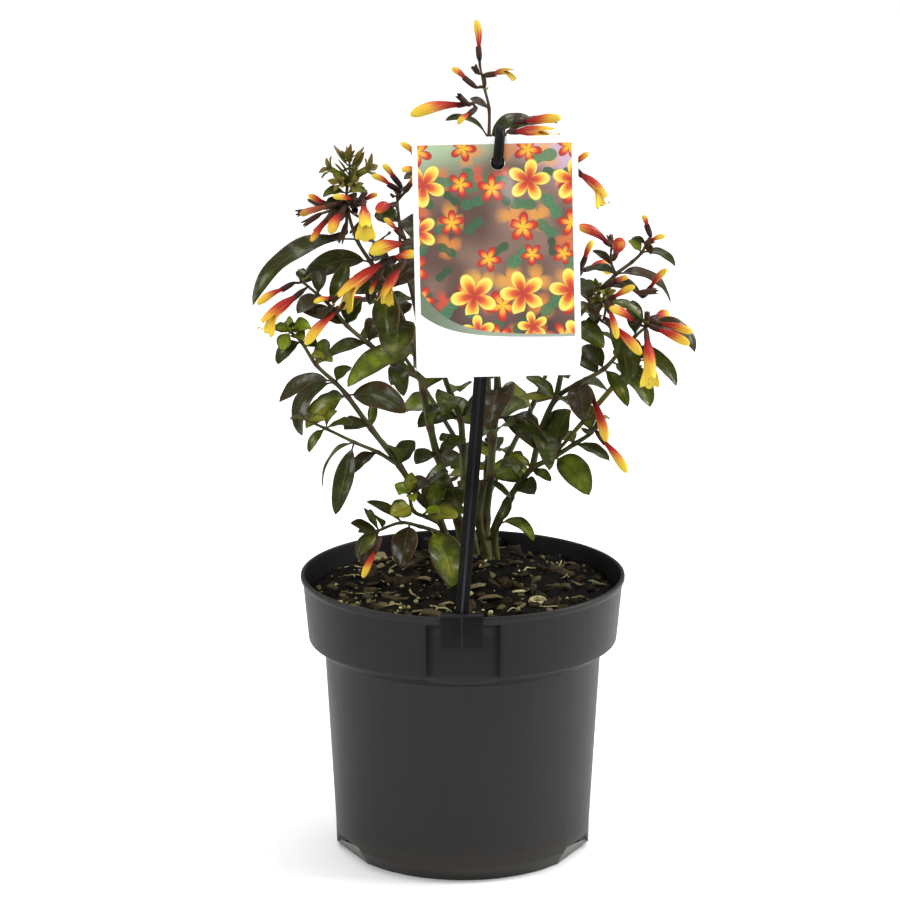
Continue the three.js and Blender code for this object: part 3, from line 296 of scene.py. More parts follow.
def makePotFinish(style):
    # Dark moulded plastic, worn paler at the rim and soiled at the foot. The collar is darkened by painted
    # shade and the corners of its recess are made black by painted shade, a scuffed line runs round above the
    # foot, and a notch is made black by painted shade behind its sill, which is made pale by painted light.
    f = Finish("potPlastic", IOR=1.47, Specular_IOR_Level=0.23)
    place = f.place()
    spot = f.node("SeparateXYZ", {}, {0: place})
    height = spot.pick("Z")
    sideways, outwards = f.maths("ABSOLUTE", spot.pick("X")), f.maths("ABSOLUTE", spot.pick("Y"))
    stretched = f.node("Mapping", {}, {"Vector": place, "Scale": (1, 1, 0.12)})
    cloud = f.noise(place, 14, 3)
    streaks = f.noise(stretched, 260, 2)
    grain = f.noise(place, 2600, 2)
    rubbed = f.ease(height, (style["height"] - 3.4) * mm, (style["height"] - 0.4) * mm, 0.0, 0.75)
    dusty = f.ease(cloud, 0.35, 0.75, 0.0, 0.28) + rubbed + f.ease(streaks, 0.6, 0.85, 0.0, 0.12)
    soiled = f.ease(height, 0.004, 0.018, 0.22, 0.0)
    colour = f.mix(dusty, style["colour"], style["worn"])
    colour = f.mix(soiled, colour, tone(0.050, 0.042, 0.032))
    # painted shade: the recess panel is made near black along its side edges and under its top
    half, top, low = style["recessHalf"] * mm, style["recessTop"] * mm, style["collarBottom"] * mm
    panel = ((outwards > (style["recessBack"] - 0.6) * mm) * (sideways < half + 0.0003)
             * (outwards < (style["recessBack"] + 0.3) * mm) * (height > low + 0.001))
    corner = f.maths("MAXIMUM", f.ease(sideways, half - 0.0045, half - 0.0004),
                     f.ease(height, top - 0.003, top - 0.0002))
    colour = f.mix(panel * corner * 0.92, colour, tone(0.0012, 0.0012, 0.0012))
    # painted shade: the collar, above its lower edge, is darkened
    colour = f.mix(f.ease(height, low, low + 0.0015, 0.0, 0.55), colour, tone(0.0015, 0.0015, 0.0015))
    scuff = f.maths("ABSOLUTE", height - style["scuffHeight"] * mm)
    colour = f.mix(f.ease(scuff, 0.0005, 0.0002, 0.0, 0.35), colour, style["worn"])
    # painted light: the sill in each notch is made pale, as if lit from the floor below
    colour = f.mix(f.value("sill") * 0.9, colour, tone(0.15, 0.143, 0.133))
    # painted shade: the ring behind each notch and the ledge of each sill are made near black
    colour = f.mix(f.ease(f.value("pit"), 0.02, 0.25), colour, tone(0.0004, 0.0004, 0.0004))
    f.paint(Base_Color=colour,
            Roughness=style["roughness"] + 0.16 * cloud - 0.08 * streaks + 0.3 * panel * corner,
            Normal=f.bump(grain * 0.6 + streaks * 0.5, 0.00006, 0.6))
    return f


def makePot(style):
    # A closed profile turned about the axis: up the outside, over the rim, down the inside, across the
    # floor and back under it. Between two edges at each recess, front and back, the wall is pushed in to a
    # flat panel.
    s = style
    outer = softened([[s["footRadius"] - 1.2, 0], [s["footRadius"], 0], [s["bandRadius"], s["bandTop"]],
                      [s["bodyTopRadius"], s["bodyTop"]], [s["collarRadius"], s["collarBottom"]],
                      [s["rimRadius"] - 1, s["height"] - 3], [s["rimRadius"], s["height"] - 2],
                      [s["rimRadius"] - 0.1, s["height"]],
                      [s["rimRadius"] - s["rimWall"], s["height"] - 0.1]], 0.6, 4)
    innerFoot, innerTop = s["collarBottom"] + 0.8, s["height"]
    lining = [[np.interp(h, [innerFoot, innerTop], [s["collarRadius"] - s["wall"],
                                                    s["rimRadius"] - s["rimWall"]]), h]
              for h in (innerTop - 0.6, s["recessTop"] + s["wall"] + 0.25, s["recessTop"] + s["wall"] - 0.25,
                        112, 104, innerFoot)]
    inner = softened([*lining,
                      [s["bodyTopRadius"] - s["wall"], s["bodyTop"] + 0.8],
                      [s["bandRadius"] - s["wall"], s["bandTop"] + 0.4],
                      [s["footRadius"] - 2, s["floorHeight"] + s["floorThickness"]],
                      [2, s["floorHeight"] + s["floorThickness"]]], 0.6, 3)
    under = softened([[2, 0], [s["bossRadius"], 0], [s["bossRadius"] + 0.3, s["floorHeight"]],
                      [s["footRadius"] - s["footWall"], s["floorHeight"]],
                      [s["footRadius"] - s["footWall"], 0], [s["footRadius"] - 1.3, 0]], 0.4, 3)

    def withHeights(profile, heights):  # adds profile points where the wall passes those heights
        order = np.argsort(profile[:, 1])
        extra = [[np.interp(h, profile[order, 1], profile[order, 0]), h] for h in heights]
        merged = np.vstack([profile, extra])
        return merged[np.argsort(merged[:, 1], kind="stable")]

    rimStart = int(np.argmax(outer[:, 1] > s["height"] - 3.5))
    body = withHeights(outer[:rimStart], [s["notchRise"], s["notchReach"], *s["ringHeights"],
                                          s["recessTop"] - 0.25, s["recessTop"] + 0.25])
    outside = np.vstack([body, outer[rimStart:]])
    profile = np.vstack([outside, inner])
    footInner = np.array([[s["footRadius"] - s["footWall"], s["notchHeight"]]])
    topUnder = int(np.argmax(under[:, 0] >= s["footRadius"] - s["footWall"] - 0.01))
    below = np.vstack([under[:topUnder + 1], footInner, under[topUnder + 1:]])

    rings = np.vstack([profile, below])
    order = np.arange(len(rings))
    isUnder = order >= len(profile)
    isInside = (order >= len(outside)) & ~isUnder
    half = s["recessHalf"] + s["wall"] * isInside
    back = s["recessBack"] - s["wall"] * isInside
    top = s["recessTop"] + s["wall"] * isInside
    radius, z = rings[:, 0:1], rings[:, 1:2]
    edge = np.degrees(np.arcsin(half / np.maximum(rings[:, 0], s["bodyTopRadius"])))[:, None]
    flare = np.concatenate([[-1.02], np.linspace(-1, 1, s["recessColumns"]), [1.02]])
    ends = np.array([turn + way * s["notchHalfTurn"] for turn in s["notchTurns"] for way in (-1, 1)])
    share = np.sort(np.concatenate([np.linspace(0, 1, s["sideColumns"])[1:-1],
                                    (ends - edge[0, 0]) / (180 - 2 * edge[0, 0])]))

    columns, inWindow = [], []
    for start in (0, 90, 180, 270):
        if start % 180 == 0:  # a recess side, front or back
            angle = start + flare[None] * edge
            inWindow += [False] + [True] * s["recessColumns"] + [False]
        else:
            angle = start - 90 + edge + share[None] * (180 - 2 * edge)
            inWindow += [False] * len(share)
        columns.append(angle)
    angle = np.radians(np.concatenate(columns, 1) - 90)
    x, y = radius * np.cos(angle), radius * np.sin(angle)
    z = np.array(np.broadcast_to(z, x.shape))
    pushed = np.array(inWindow)[None] & (z < top[:, None]) & ~isUnder[:, None]
    y = np.where(pushed & (np.abs(y) > back[:, None]), np.sign(y) * back[:, None], y)

    # A drain notch leaves out the foot's faces below its top and closes the way through with new ones. Its
    # top is highest near its front end, and comes down almost to the ground towards its rear end.
    heap = Heap("pit", "sill")
    pit = 0 * z
    rows, sides = x.shape
    index = np.arange(rows * sides).reshape(rows, sides)
    turnedIndex = np.roll(index, -1, 1)
    quads = np.stack([index[:-1], turnedIndex[:-1], turnedIndex[1:], index[1:]], -1)
    lowOuter = int(np.argmin(np.abs(profile[:len(body), 1] - s["notchRise"])))
    lowInner = len(profile) + topUnder + 1
    middle = (np.degrees(angle[0]) + 90) % 360
    kept = np.ones(quads.shape[:2], bool)
    bridges = []
    notches = [*s["notchTurns"], *(360 - turn for turn in s["notchTurns"])]
    whole = np.ones(sides, bool)
    for notch in notches:
        window = np.where(np.abs(middle - notch) < s["notchHalfTurn"] + 0.1)[0]
        whole[window[:-1]] = False
        kept[:lowOuter, window[:-1]] = False
        kept[lowInner:, window[:-1]] = False
        rearwards = (middle[window] - notch) / s["notchHalfTurn"] * (1 if notch < 180 else -1)
        lift = np.interp(rearwards, *zip(*s["notchTop"])) - s["notchRise"]
        lift = lift * np.clip(s["notchReach"] - z[lowOuter:len(body), window], 0, None)
        z[lowOuter:len(body), window] += lift / (s["notchReach"] - s["notchRise"])
        # painted shade: the inner ring behind the notch is marked to be painted black
        pit[lowInner, window] = 1.0
        further = np.interp(rearwards, *zip(*s["notchShadedRing"]))
        x[lowInner, window] *= further
        y[lowInner, window] *= further
        here, there = index[lowOuter, window], index[lowInner, window]
        bridges.append(np.stack([here[:-1], there[:-1], there[1:], here[1:]], -1))
        outerSide = index[:lowOuter + 1]
        innerSide = index[lowInner:][::-1]
        level = np.round(np.linspace(0, len(innerSide) - 1, lowOuter + 1)).astype(int)
        for column, flip in ((window[0], True), (window[-1], False)):
            a, b = outerSide[:, column], innerSide[level, column]
            sheet = np.stack([a[:-1], a[1:], b[1:], b[:-1]], -1)
            bridges.append(sheet[:, ::-1] if flip else sheet)
    # the last ring of the underside meets the first of the outside, where no notch is
    seam = np.stack([index[-1], turnedIndex[-1], turnedIndex[0], index[0]], -1)
    floorRow = len(profile) - 1
    kept[floorRow] = False  # the floor's top and its underside are two skins, closed at their middles
    heap.points.append(np.stack([x, y, z], -1).reshape(-1, 3))
    heap.points.append(np.array([[0, 0, z[floorRow, 0]], [0, 0, 0]]))
    heap.values["pit"] += [pit.ravel(), np.zeros(2)]
    heap.values["sill"].append(np.zeros(pit.size + 2))
    heap.quads += [quads[kept], *bridges, seam[whole]]
    hub = rows * sides
    heap.fans.append(np.stack([np.full(sides, hub), index[floorRow], turnedIndex[floorRow]], -1))
    heap.fans.append(np.stack([np.full(sides, hub + 1), turnedIndex[floorRow + 1], index[floorRow + 1]], -1))
    heap.total = hub + 2
    # A flat sill leans outwards in each notch, so that only a wedge of it is open. Its outer face runs evenly
    # from its rear end to its front end, and a ledge goes inwards from its upper edge. The sill is made pale
    # by painted light, and the ledge black by painted shade.
    for notch in notches:
        side = 1 if notch < 180 else -1
        inwards = -heading(notch - 90, 0)
        corners = []
        for turn, *edges in (s["sillRear"], s["sillFront"]):
            outwards = heading(notch - 90 + side * turn, 0)
            corners.append([outwards * away + [0, 0, height] for away, height in edges])
        share = np.linspace(0, 1, 9)[:, None]
        high, low = (rear * (1 - share) + front * share for rear, front in zip(*corners))
        rings = np.stack([high, high * 0.95 + low * 0.05, low, low + inwards * s["sillThickness"],
                          high + inwards * s["sillLedge"], high + inwards * s["sillLip"]], 1)[:, ::side]
        shaded = np.array([[0, 0, 0, 0, 1.0, 0.1]])[:, ::side]
        heap.tube(rings, rings[0].mean(0), rings[-1].mean(0), sill=1.0, pit=shaded)
    return heap.piece("potBody", makePotFinish(s), "pot", "pot")


makePot(potStyle)


# The soil

soilStyle = dict(
    edgeHeight=113, crownRise=8, crownX=7, crownY=22, crownSpread=40, edgeRadius=66.6, recessBack=61.6,
    recessHalf=17.4, depth=7, rings=84, spokes=220, crumbHeight=1.5,
    chips=26, chipClear=7, flakes=110, flakeClear=4, bits=760, fibres=34,
    spiralTurn=2.39996, lumpRoundness=0.55, huskPlace=(32, -21), huskTurns=0.875,
)


def soilHeight(x, y):  # a low mound round the crown, with small humps
    s = soilStyle
    away = np.hypot(x - s["crownX"], y - s["crownY"]) / s["crownSpread"]
    humps = 0.8 * np.sin(x * 0.23 + 1) * np.cos(y * 0.19) + 0.5 * np.sin(x * 0.51 - y * 0.43)
    return s["edgeHeight"] + s["crownRise"] * np.exp(-away * away) + humps


def crumbs(x, y, size, seed):  # soft random lumps of that size, from 0 to 1
    u, v = x / size, y / size
    i, j = np.floor(u), np.floor(v)
    f, g = ease(0, 1, u - i), ease(0, 1, v - j)

    def corner(a, b):
        return scatter((i + a) * 1.37 + (j + b) * 7.31 + seed)
    return ((corner(0, 0) * (1 - f) + corner(1, 0) * f) * (1 - g)
            + (corner(0, 1) * (1 - f) + corner(1, 1) * f) * g)


def makeSoilFinish():
    # Near-black peat in crumbs, brown bark and pale bits, all darker in damp patches, and darker towards the
    # right by painted shade.
    f = Finish("pottingMix", IOR=1.4, Specular_IOR_Level=0.08)
    place, kind, shade = f.place(), f.value("kind"), f.value("shade")
    crumb = f.node("TexVoronoi", {}, {"Vector": place, "Scale": 420.0})
    cell = f.node("SeparateColor", {}, {0: crumb.pick("Color")})
    fine = f.noise(place, 900, 4, 0.65)
    peat = f.mix(cell.pick(0), tone(0.0008, 0.0008, 0.0005), tone(0.0065, 0.0055, 0.003))
    peat = f.mix((cell.pick(1) > 0.95) * 0.8, peat, tone(0.12, 0.10, 0.045))
    bark = f.mix(f.ease(fine, 0.3, 0.7), tone(0.006, 0.004, 0.003), tone(0.046, 0.031, 0.015))
    bark = f.mix(f.ease(shade, 0.15, 1.0, 0.0, 0.9), bark, tone(0.175, 0.142, 0.072))
    pale = f.mix(f.ease(fine, 0.35, 0.7), tone(0.26, 0.235, 0.095), tone(0.62, 0.59, 0.33))
    pale = f.mix(shade * 0.9, pale, tone(0.21, 0.17, 0.065))
    colour = f.mix(f.ease(kind, 0.2, 0.6), peat, bark)
    colour = f.mix(f.ease(kind, 1.2, 1.6), colour, pale)
    # damp patches, with painted shade that darkens the soil towards the right
    rightwards = f.node("SeparateXYZ", {}, {0: place}).pick(0)
    dampAndShade = f.ease(f.noise(place, 34, 2) + rightwards * 2.4, 0.47, 0.64)
    colour = f.mix(dampAndShade * 0.72, colour, tone(0.0040, 0.0034, 0.0026))
    f.paint(Base_Color=colour, Roughness=0.72 + 0.25 * fine,
            Normal=f.bump(fine + crumb * 0.7, 0.0006, 0.7))
    return f


def onSoil(x, y, above):  # the point that far above the soil
    return np.array([x, y, soilHeight(x, y) + above])


def chunk(heap, centre, size, turns, seed, kind, shade, sides=9, rows=5):
    # A worn lump: a box-like ball with its corners rounded off and every point shifted a little.
    v = np.linspace(-0.82, 0.82, rows)[:, None] * math.pi / 2
    u = np.arange(sides)[None] / sides * 2 * math.pi

    def swell(a):
        return np.sign(a) * np.abs(a) ** soilStyle["lumpRoundness"]
    level = swell(np.cos(v))
    ball = np.stack(np.broadcast_arrays(level * swell(np.cos(u)), level * swell(np.sin(u)),
                                        swell(np.sin(v))), -1)
    jitter = 0.8 + 0.4 * scatter(np.arange(rows * sides).reshape(rows, sides) * 1.7 + seed)
    points = ball * jitter[..., None] * size / 2
    points[..., 2] += 0.09 * size[0] * np.sin(points[..., 0] / size[0] * 4 + seed)
    ends = np.array([[0, 0, -size[2] / 2], [0, 0, size[2] / 2]])
    a, b, c = turns
    spinX = np.array([[1, 0, 0], [0, math.cos(a), -math.sin(a)], [0, math.sin(a), math.cos(a)]])
    spinY = np.array([[math.cos(b), 0, math.sin(b)], [0, 1, 0], [-math.sin(b), 0, math.cos(b)]])
    spinZ = np.array([[math.cos(c), -math.sin(c), 0], [math.sin(c), math.cos(c), 0], [0, 0, 1]])
    spin = (spinZ @ spinY @ spinX).T
    heap.tube(points @ spin + centre, *(ends @ spin + centre), kind=kind, shade=shade)


def fibre(heap, centre, length, compass, bow, radius, kind, shade):
    # A thin strand: a tapered tube along a bowed line that rises a little at its middle.
    t = np.linspace(-1, 1, 9)
    side = heading(compass + 90, 0)
    line = centre + heading(compass, 0) * (t * length / 2)[:, None] + side * (bow * t * t)[:, None]
    line[:, 2] += 0.5 * (1 - t * t) + 0.25 * np.sin(t * 5 + length)
    rings = roundRings(line, [0, 0, 1.0], radius * (1 - 0.6 * t * t), 5)
    heap.tube(rings, line[0], line[-1], kind=kind, shade=shade)


def makeSoil(style, feet):
    s = style
    heap = Heap("kind", "shade")
    # The surface: rings about the pot's axis, raised by lumps of three sizes, down to a skirt at the wall.
    # What lies on it is a chunk or a fibre of kind 1, bark, or 2, pale, each darker or paler by its shade.
    share = np.sqrt(np.linspace(0.0004, 1, s["rings"]))[:, None]
    angle = np.arange(s["spokes"])[None] / s["spokes"] * 2 * math.pi
    radius = s["edgeRadius"] * share
    x, y = radius * np.cos(angle), radius * np.sin(angle)
    lumps = (crumbs(x, y, 5.5, 3) - 0.5) * 1.1 + (crumbs(x, y, 2.3, 11) - 0.5) * 0.9
    lumps = lumps + crumbs(x, y, 1.1, 29) * 0.4
    z = soilHeight(x, y) + s["crumbHeight"] * lumps * ease(1.0, 0.97, share)
    z = z - 0.8 * ease(0.93, 1, share)
    window = (np.abs(x) < s["recessHalf"]) & (np.abs(y) > s["recessBack"])
    y = np.where(window, np.sign(y) * s["recessBack"], y)
    top = np.stack([x, y, z], -1)
    skirt = np.array(top[-1])
    skirt[:, 2] = s["edgeHeight"] - s["depth"]
    rings = np.concatenate([top, skirt[None]])[::-1]
    heap.tube(rings, np.array([0, 0, s["edgeHeight"] - s["depth"]]), np.array([0, 0, z[0].mean()]))
    feet = np.array(feet)[:, :2]

    def nearStem(px, py, clear):
        return np.hypot(feet[:, 0] - px, feet[:, 1] - py).min() < clear

    def onSpiral(number, count, shift, near, far, limit):
        # The turn of one of so many on an even spiral, and its X and Y, with Y held inside the recesses.
        turned = s["spiralTurn"] * number + shift
        out = near + (far - near) * math.sqrt((number + 0.6) / count)
        return turned, out * math.cos(turned), min(max(out * math.sin(turned), -limit), limit)

    for number in range(s["chips"]):  # the large bark chips
        turned = 2 * math.pi * (number * 0.382 + 0.1 * scatter(number))
        out = 12 + 46 * math.sqrt((number + 0.5) / s["chips"])
        px, py = out * math.cos(turned), out * math.sin(turned)
        if not nearStem(px, py, s["chipClear"]):
            size = np.array([6 + 8 * scatter(number + 40), 3 + 3 * scatter(number + 80), 2.6]) * 1.12
            turns = (0.35 * (scatter(number + 120) - 0.5), 0.5 * (scatter(number + 160) - 0.5),
                     math.pi * scatter(number + 200))
            chunk(heap, onSoil(px, py, 0.1), size, turns, number, 1, 0.5 * scatter(number + 7), 12, 7)
    for number in range(s["flakes"]):  # small flakes of bark, lying every way
        turned, px, py = onSpiral(number, s["flakes"], scatter(number + 3), 0, 62, 56)
        size = np.array([3 + 8 * scatter(number + 300) ** 2, 1.6 + 3.4 * scatter(number + 400),
                         0.7 + 0.9 * scatter(number + 500)])
        turns = (0.9 * (scatter(number + 600) - 0.5), 0.9 * (scatter(number + 700) - 0.5), turned * 3)
        if not nearStem(px, py, s["flakeClear"]):
            chunk(heap, onSoil(px, py, 0.9), size, turns, number + 50, 1, scatter(number + 800) ** 2)
    for number in range(s["bits"]):  # pale crumbs of perlite and wood, more of them towards the front left
        turned, px, py = onSpiral(number, s["bits"], 2 * scatter(number + 13), 0, 64, 60)
        chance = 0.13 + 0.60 * ease(15, -40, px) * ease(25, -30, py) + 0.16 * ease(-10, -50, py)
        if scatter(number + 910) > chance:
            continue
        size = (0.6 + 2.0 * scatter(number + 920) ** 3) * np.array([1.3, 1.0, 0.8])
        turns = (number, number * 2.0, number * 3.0)
        chunk(heap, onSoil(px, py, 0.8), size, turns, number + 70, 2, scatter(number + 930), 6, 3)
    for number in range(s["fibres"]):  # strands of wood and root
        turned, px, py = onSpiral(number, s["fibres"], 1.1, 14, 60, 50)
        strand, bow = 5 + 11 * scatter(number + 950), 3 * (scatter(number + 970) - 0.5)
        fibre(heap, onSoil(px, py, 0.9), strand, 360 * scatter(number + 960), bow,
              0.30 + 0.5 * scatter(number + 980) ** 2, 1.6, scatter(number))
    # one curled husk of pale bark lies at the front right
    t = np.linspace(0, 2 * math.pi * s["huskTurns"], 22)
    curl = onSoil(*s["huskPlace"], 1.6) + np.stack([3.0 * np.cos(t), 2.6 * np.sin(t), 0.5 * np.sin(t)], -1)
    heap.tube(roundRings(curl, [0, 0, 1.0], 0.95, 8, 1.3), curl[0], curl[-1], kind=2, shade=0.35)
    heap.piece("soilSurface", makeSoilFinish(), "soil", "soil")


# The label

cardStyle = dict(
    width=68.5, height=99.5, thickness=0.7, corner=2.5, holeRadius=3, holeDrop=10.8, holeShift=1.1,
    swing=-1.2, margin=2.2, topMargin=3.0, paper=tone(0.93, 0.93, 0.92),
)
stakeStyle = dict(
    width=5.6, thickness=1.3, above=0.9, ridgeWidth=0.9, ridgeHeight=0.5, ribWidth=1.2, ribDepth=2.4,
    hookRadius=2.1, hookStart=6, hookSides=20, pegSlim=0.85,
    lean=4.5, tilt=-8, holeHeight=189, foot=(-0.6, -69.4, 124.6),
    clipWidth=18, clipTop=124.6, clipDrop=14.5, clipThickness=1.4, lipDrop=3.2,
    clipOutside=-71.0, clipInside=-66.85, colour=tone(0.0020, 0.0020, 0.0023), roughness=0.32,
)


def aboutY(points, degrees):  # points turned about the Y axis
    c, s = math.cos(math.radians(degrees)), math.sin(math.radians(degrees))
    return np.stack([points[..., 0] * c + points[..., 2] * s, points[..., 1],
                     points[..., 2] * c - points[..., 0] * s], -1)


def intoLabelFrame(points):  # the label leans back over the plant from its foot on the rim
    c, s = math.cos(math.radians(stakeStyle["tilt"])), math.sin(math.radians(stakeStyle["tilt"]))
    leaned = np.stack([points[..., 0], points[..., 1] * c - points[..., 2] * s,
                       points[..., 1] * s + points[..., 2] * c], -1)
    return leaned + np.array(stakeStyle["foot"])


def makeStakeFinish(style):
    # Near-black moulded plastic, drawn lengthways, paler along its ridge by wear and a painted highlight, and
    # over its bend by a painted highlight.
    f = Finish("stakePlastic", IOR=1.47, Specular_IOR_Level=0.11)
    place = f.place()
    grain, cloud = f.noise(place, 1900, 2), f.noise(place, 30, 2)
    drawn = f.noise(f.node("Mapping", {}, {"Vector": place, "Scale": (1, 1, 0.05)}), 700, 2)
    colour = f.mix(f.ease(cloud, 0.4, 0.8), style["colour"], tone(0.009, 0.009, 0.0095))
    colour = f.mix(f.value("rubbed") * (0.55 + 0.9 * (drawn - 0.5)), colour, tone(0.050, 0.051, 0.055))
    f.paint(Base_Color=colour, Roughness=style["roughness"] + 0.15 * cloud,
            Normal=f.bump(grain * 0.5 + drawn, 0.00005, 0.5))
    return f


def sweep(heap, centres, side, section, shrink=0.12, **values):
    # A section of [across, up] points carried along a line, its two ends drawn in a little.
    across, up = framed(centres, side)[1:]
    section = np.asarray(section, float)
    if section.ndim == 2:
        section = np.broadcast_to(section, (len(centres), *section.shape))
    size = np.ones(len(centres))
    size[[0, -1]] = 1 - shrink
    middle = section.mean(1, keepdims=True)
    section = middle + (section - middle) * size[:, None, None]
    rings = centres[:, None] + across[:, None] * section[..., :1] + up[:, None] * section[..., 1:]
    first = centres[0] + across[0] * middle[0, 0, 0] + up[0] * middle[0, 0, 1]
    last = centres[-1] + across[-1] * middle[-1, 0, 0] + up[-1] * middle[-1, 0, 1]
    heap.tube(rings, first, last, **values)


def makeStake(style):
    # The upright is one section carried straight up: a flat bar with a ridge before it and a rib behind,
    # which ends below the hook. The hook, its peg and the clip are round and flat sections along lines.
    s = style
    gap = cardStyle["thickness"] / 2 + 0.3
    front, rear = gap + s["ridgeHeight"], gap + s["ridgeHeight"] + s["thickness"]
    wide, ridge, rib = s["width"] / 2, s["ridgeWidth"] / 2, s["ribWidth"] / 2
    top = s["holeHeight"] + cardStyle["holeDrop"] + s["above"]
    ribEnd = rear + s["ribDepth"] - 0.45
    outline = softened([[-ridge, gap], [ridge, gap], [ridge, front], [wide, front], [wide, rear],
                        [rib, rear], [rib, ribEnd], [-rib, ribEnd], [-rib, rear],
                        [-wide, rear], [-wide, front], [-ridge, front]], 0.28, 3, closed=True)
    heights = np.concatenate([[0, 0.3], np.linspace(8, top - 8, 24), [top - 6.2, top - 5.8, top - 0.3, top]])
    section = np.broadcast_to(outline, (len(heights), *outline.shape)).copy()
    ribless = (heights > top - s["hookStart"])[:, None] & (section[..., 1] > rear)
    section[..., 1] = np.where(ribless, rear + 0.01 * (section[..., 1] - rear), section[..., 1])
    rings = np.concatenate([section, np.broadcast_to(heights[:, None, None], (*section.shape[:2], 1))], -1)
    rings[0, :, 0] *= 0.96
    rings[-1, :, 0] *= 0.96
    heap = Heap("rubbed")
    middle = (front + rear) / 2
    # wear and a painted highlight: the ridge is made paler, most of all towards the foot
    onRidge = (np.abs(outline[:, 0]) < ridge + 0.1) & (outline[:, 1] < front - 0.1)
    rubbed = np.where(onRidge[None], 0.25 + 0.75 * ease(60, 5, heights)[:, None], 0.0)

    def lean(points):
        return intoLabelFrame(aboutY(points, s["lean"]))
    heap.tube(lean(rings), lean(np.array([0, middle, 0.0])), lean(np.array([0, middle, top])), rubbed=rubbed)

    # the hook runs up behind the stake, over the card in a half circle and down to its hole
    reach = gap + s["hookRadius"]
    turned = np.linspace(0, math.pi, 19)
    arc = np.stack([0 * turned, reach * np.cos(turned), top - 1 + reach * np.sin(turned)], -1)
    route = np.vstack([[[0, reach, top - 6], [0, reach, top - 5.6], [0, reach, top - 3]], arc,
                       [[0, -reach, top - 4], [0, -reach, top - 8], [0, -reach, s["holeHeight"] + 0.4],
                        [0, -reach, s["holeHeight"] - 0.5], [0, -reach, s["holeHeight"] - 1.0]]])
    thick = np.full(len(route), s["hookRadius"])
    thick[[0, -3, -2, -1]] = s["hookRadius"] * np.array([0.8, 0.98, 0.8, 0.45])
    rings = roundRings(route, [1.0, 0, 0], thick, s["hookSides"])
    heap.tube(lean(rings), lean(route[0]), lean(route[-1]))
    peg = np.array([[0, y, s["holeHeight"] + 0.7] for y in (-reach, -1.2, -0.2, 0.33)])
    rings = roundRings(peg, [1.0, 0, 0], s["hookRadius"] * s["pegSlim"], s["hookSides"])
    rings[-1] = peg[-1] + (rings[-1] - peg[-1]) * 0.9
    heap.tube(lean(rings), lean(peg[0]), lean(peg[-1]))

    # the clip: a flat strip bent up the outside, over the rim and down the inside
    bridge = s["clipTop"] - 0.75
    path = softened([[0, s["clipOutside"], s["clipTop"] - s["clipDrop"]], [0, s["clipOutside"], bridge],
                     [0, s["clipInside"], bridge], [0, s["clipInside"], s["clipTop"] - s["lipDrop"]]], 0.7, 5)
    path = np.vstack([path[:1], path[:1] + [0, 0, 0.3], path[1:-1], path[-1:] + [0, 0, 0.3], path[-1:]])
    path[:, 0] = s["foot"][0]
    half, thin = s["clipWidth"] / 2, s["clipThickness"] / 2
    strip = softened([[-thin, -half], [thin, -half], [thin, half], [-thin, half]], 0.35, 3, closed=True)
    # painted highlight over the top of the clip's bend
    overBend = np.exp(-((path[:, 2] - bridge - 0.5) / 0.8) ** 2) * (path[:, 1] < -70)
    sweep(heap, path, [1.0, 0, 0], strip, 0.04, rubbed=0.55 * overBend[:, None])
    # a raised line down the clip, made paler by wear and a painted highlight
    seam = softened([[-0.25, -0.5], [0.3, -0.5], [0.3, 0.5], [-0.25, 0.5]], 0.2, 3, closed=True)
    ridgeLine = np.array([[s["foot"][0], s["clipOutside"] - thin - 0.1, z]
                          for z in np.linspace(s["clipTop"] - s["clipDrop"] + 0.5, s["clipTop"] - 0.8, 6)])
    sweep(heap, ridgeLine, [1.0, 0, 0], seam, 0.3, rubbed=0.35)
    return heap.piece("labelStake", makeStakeFinish(s), "stake", "label_stake")


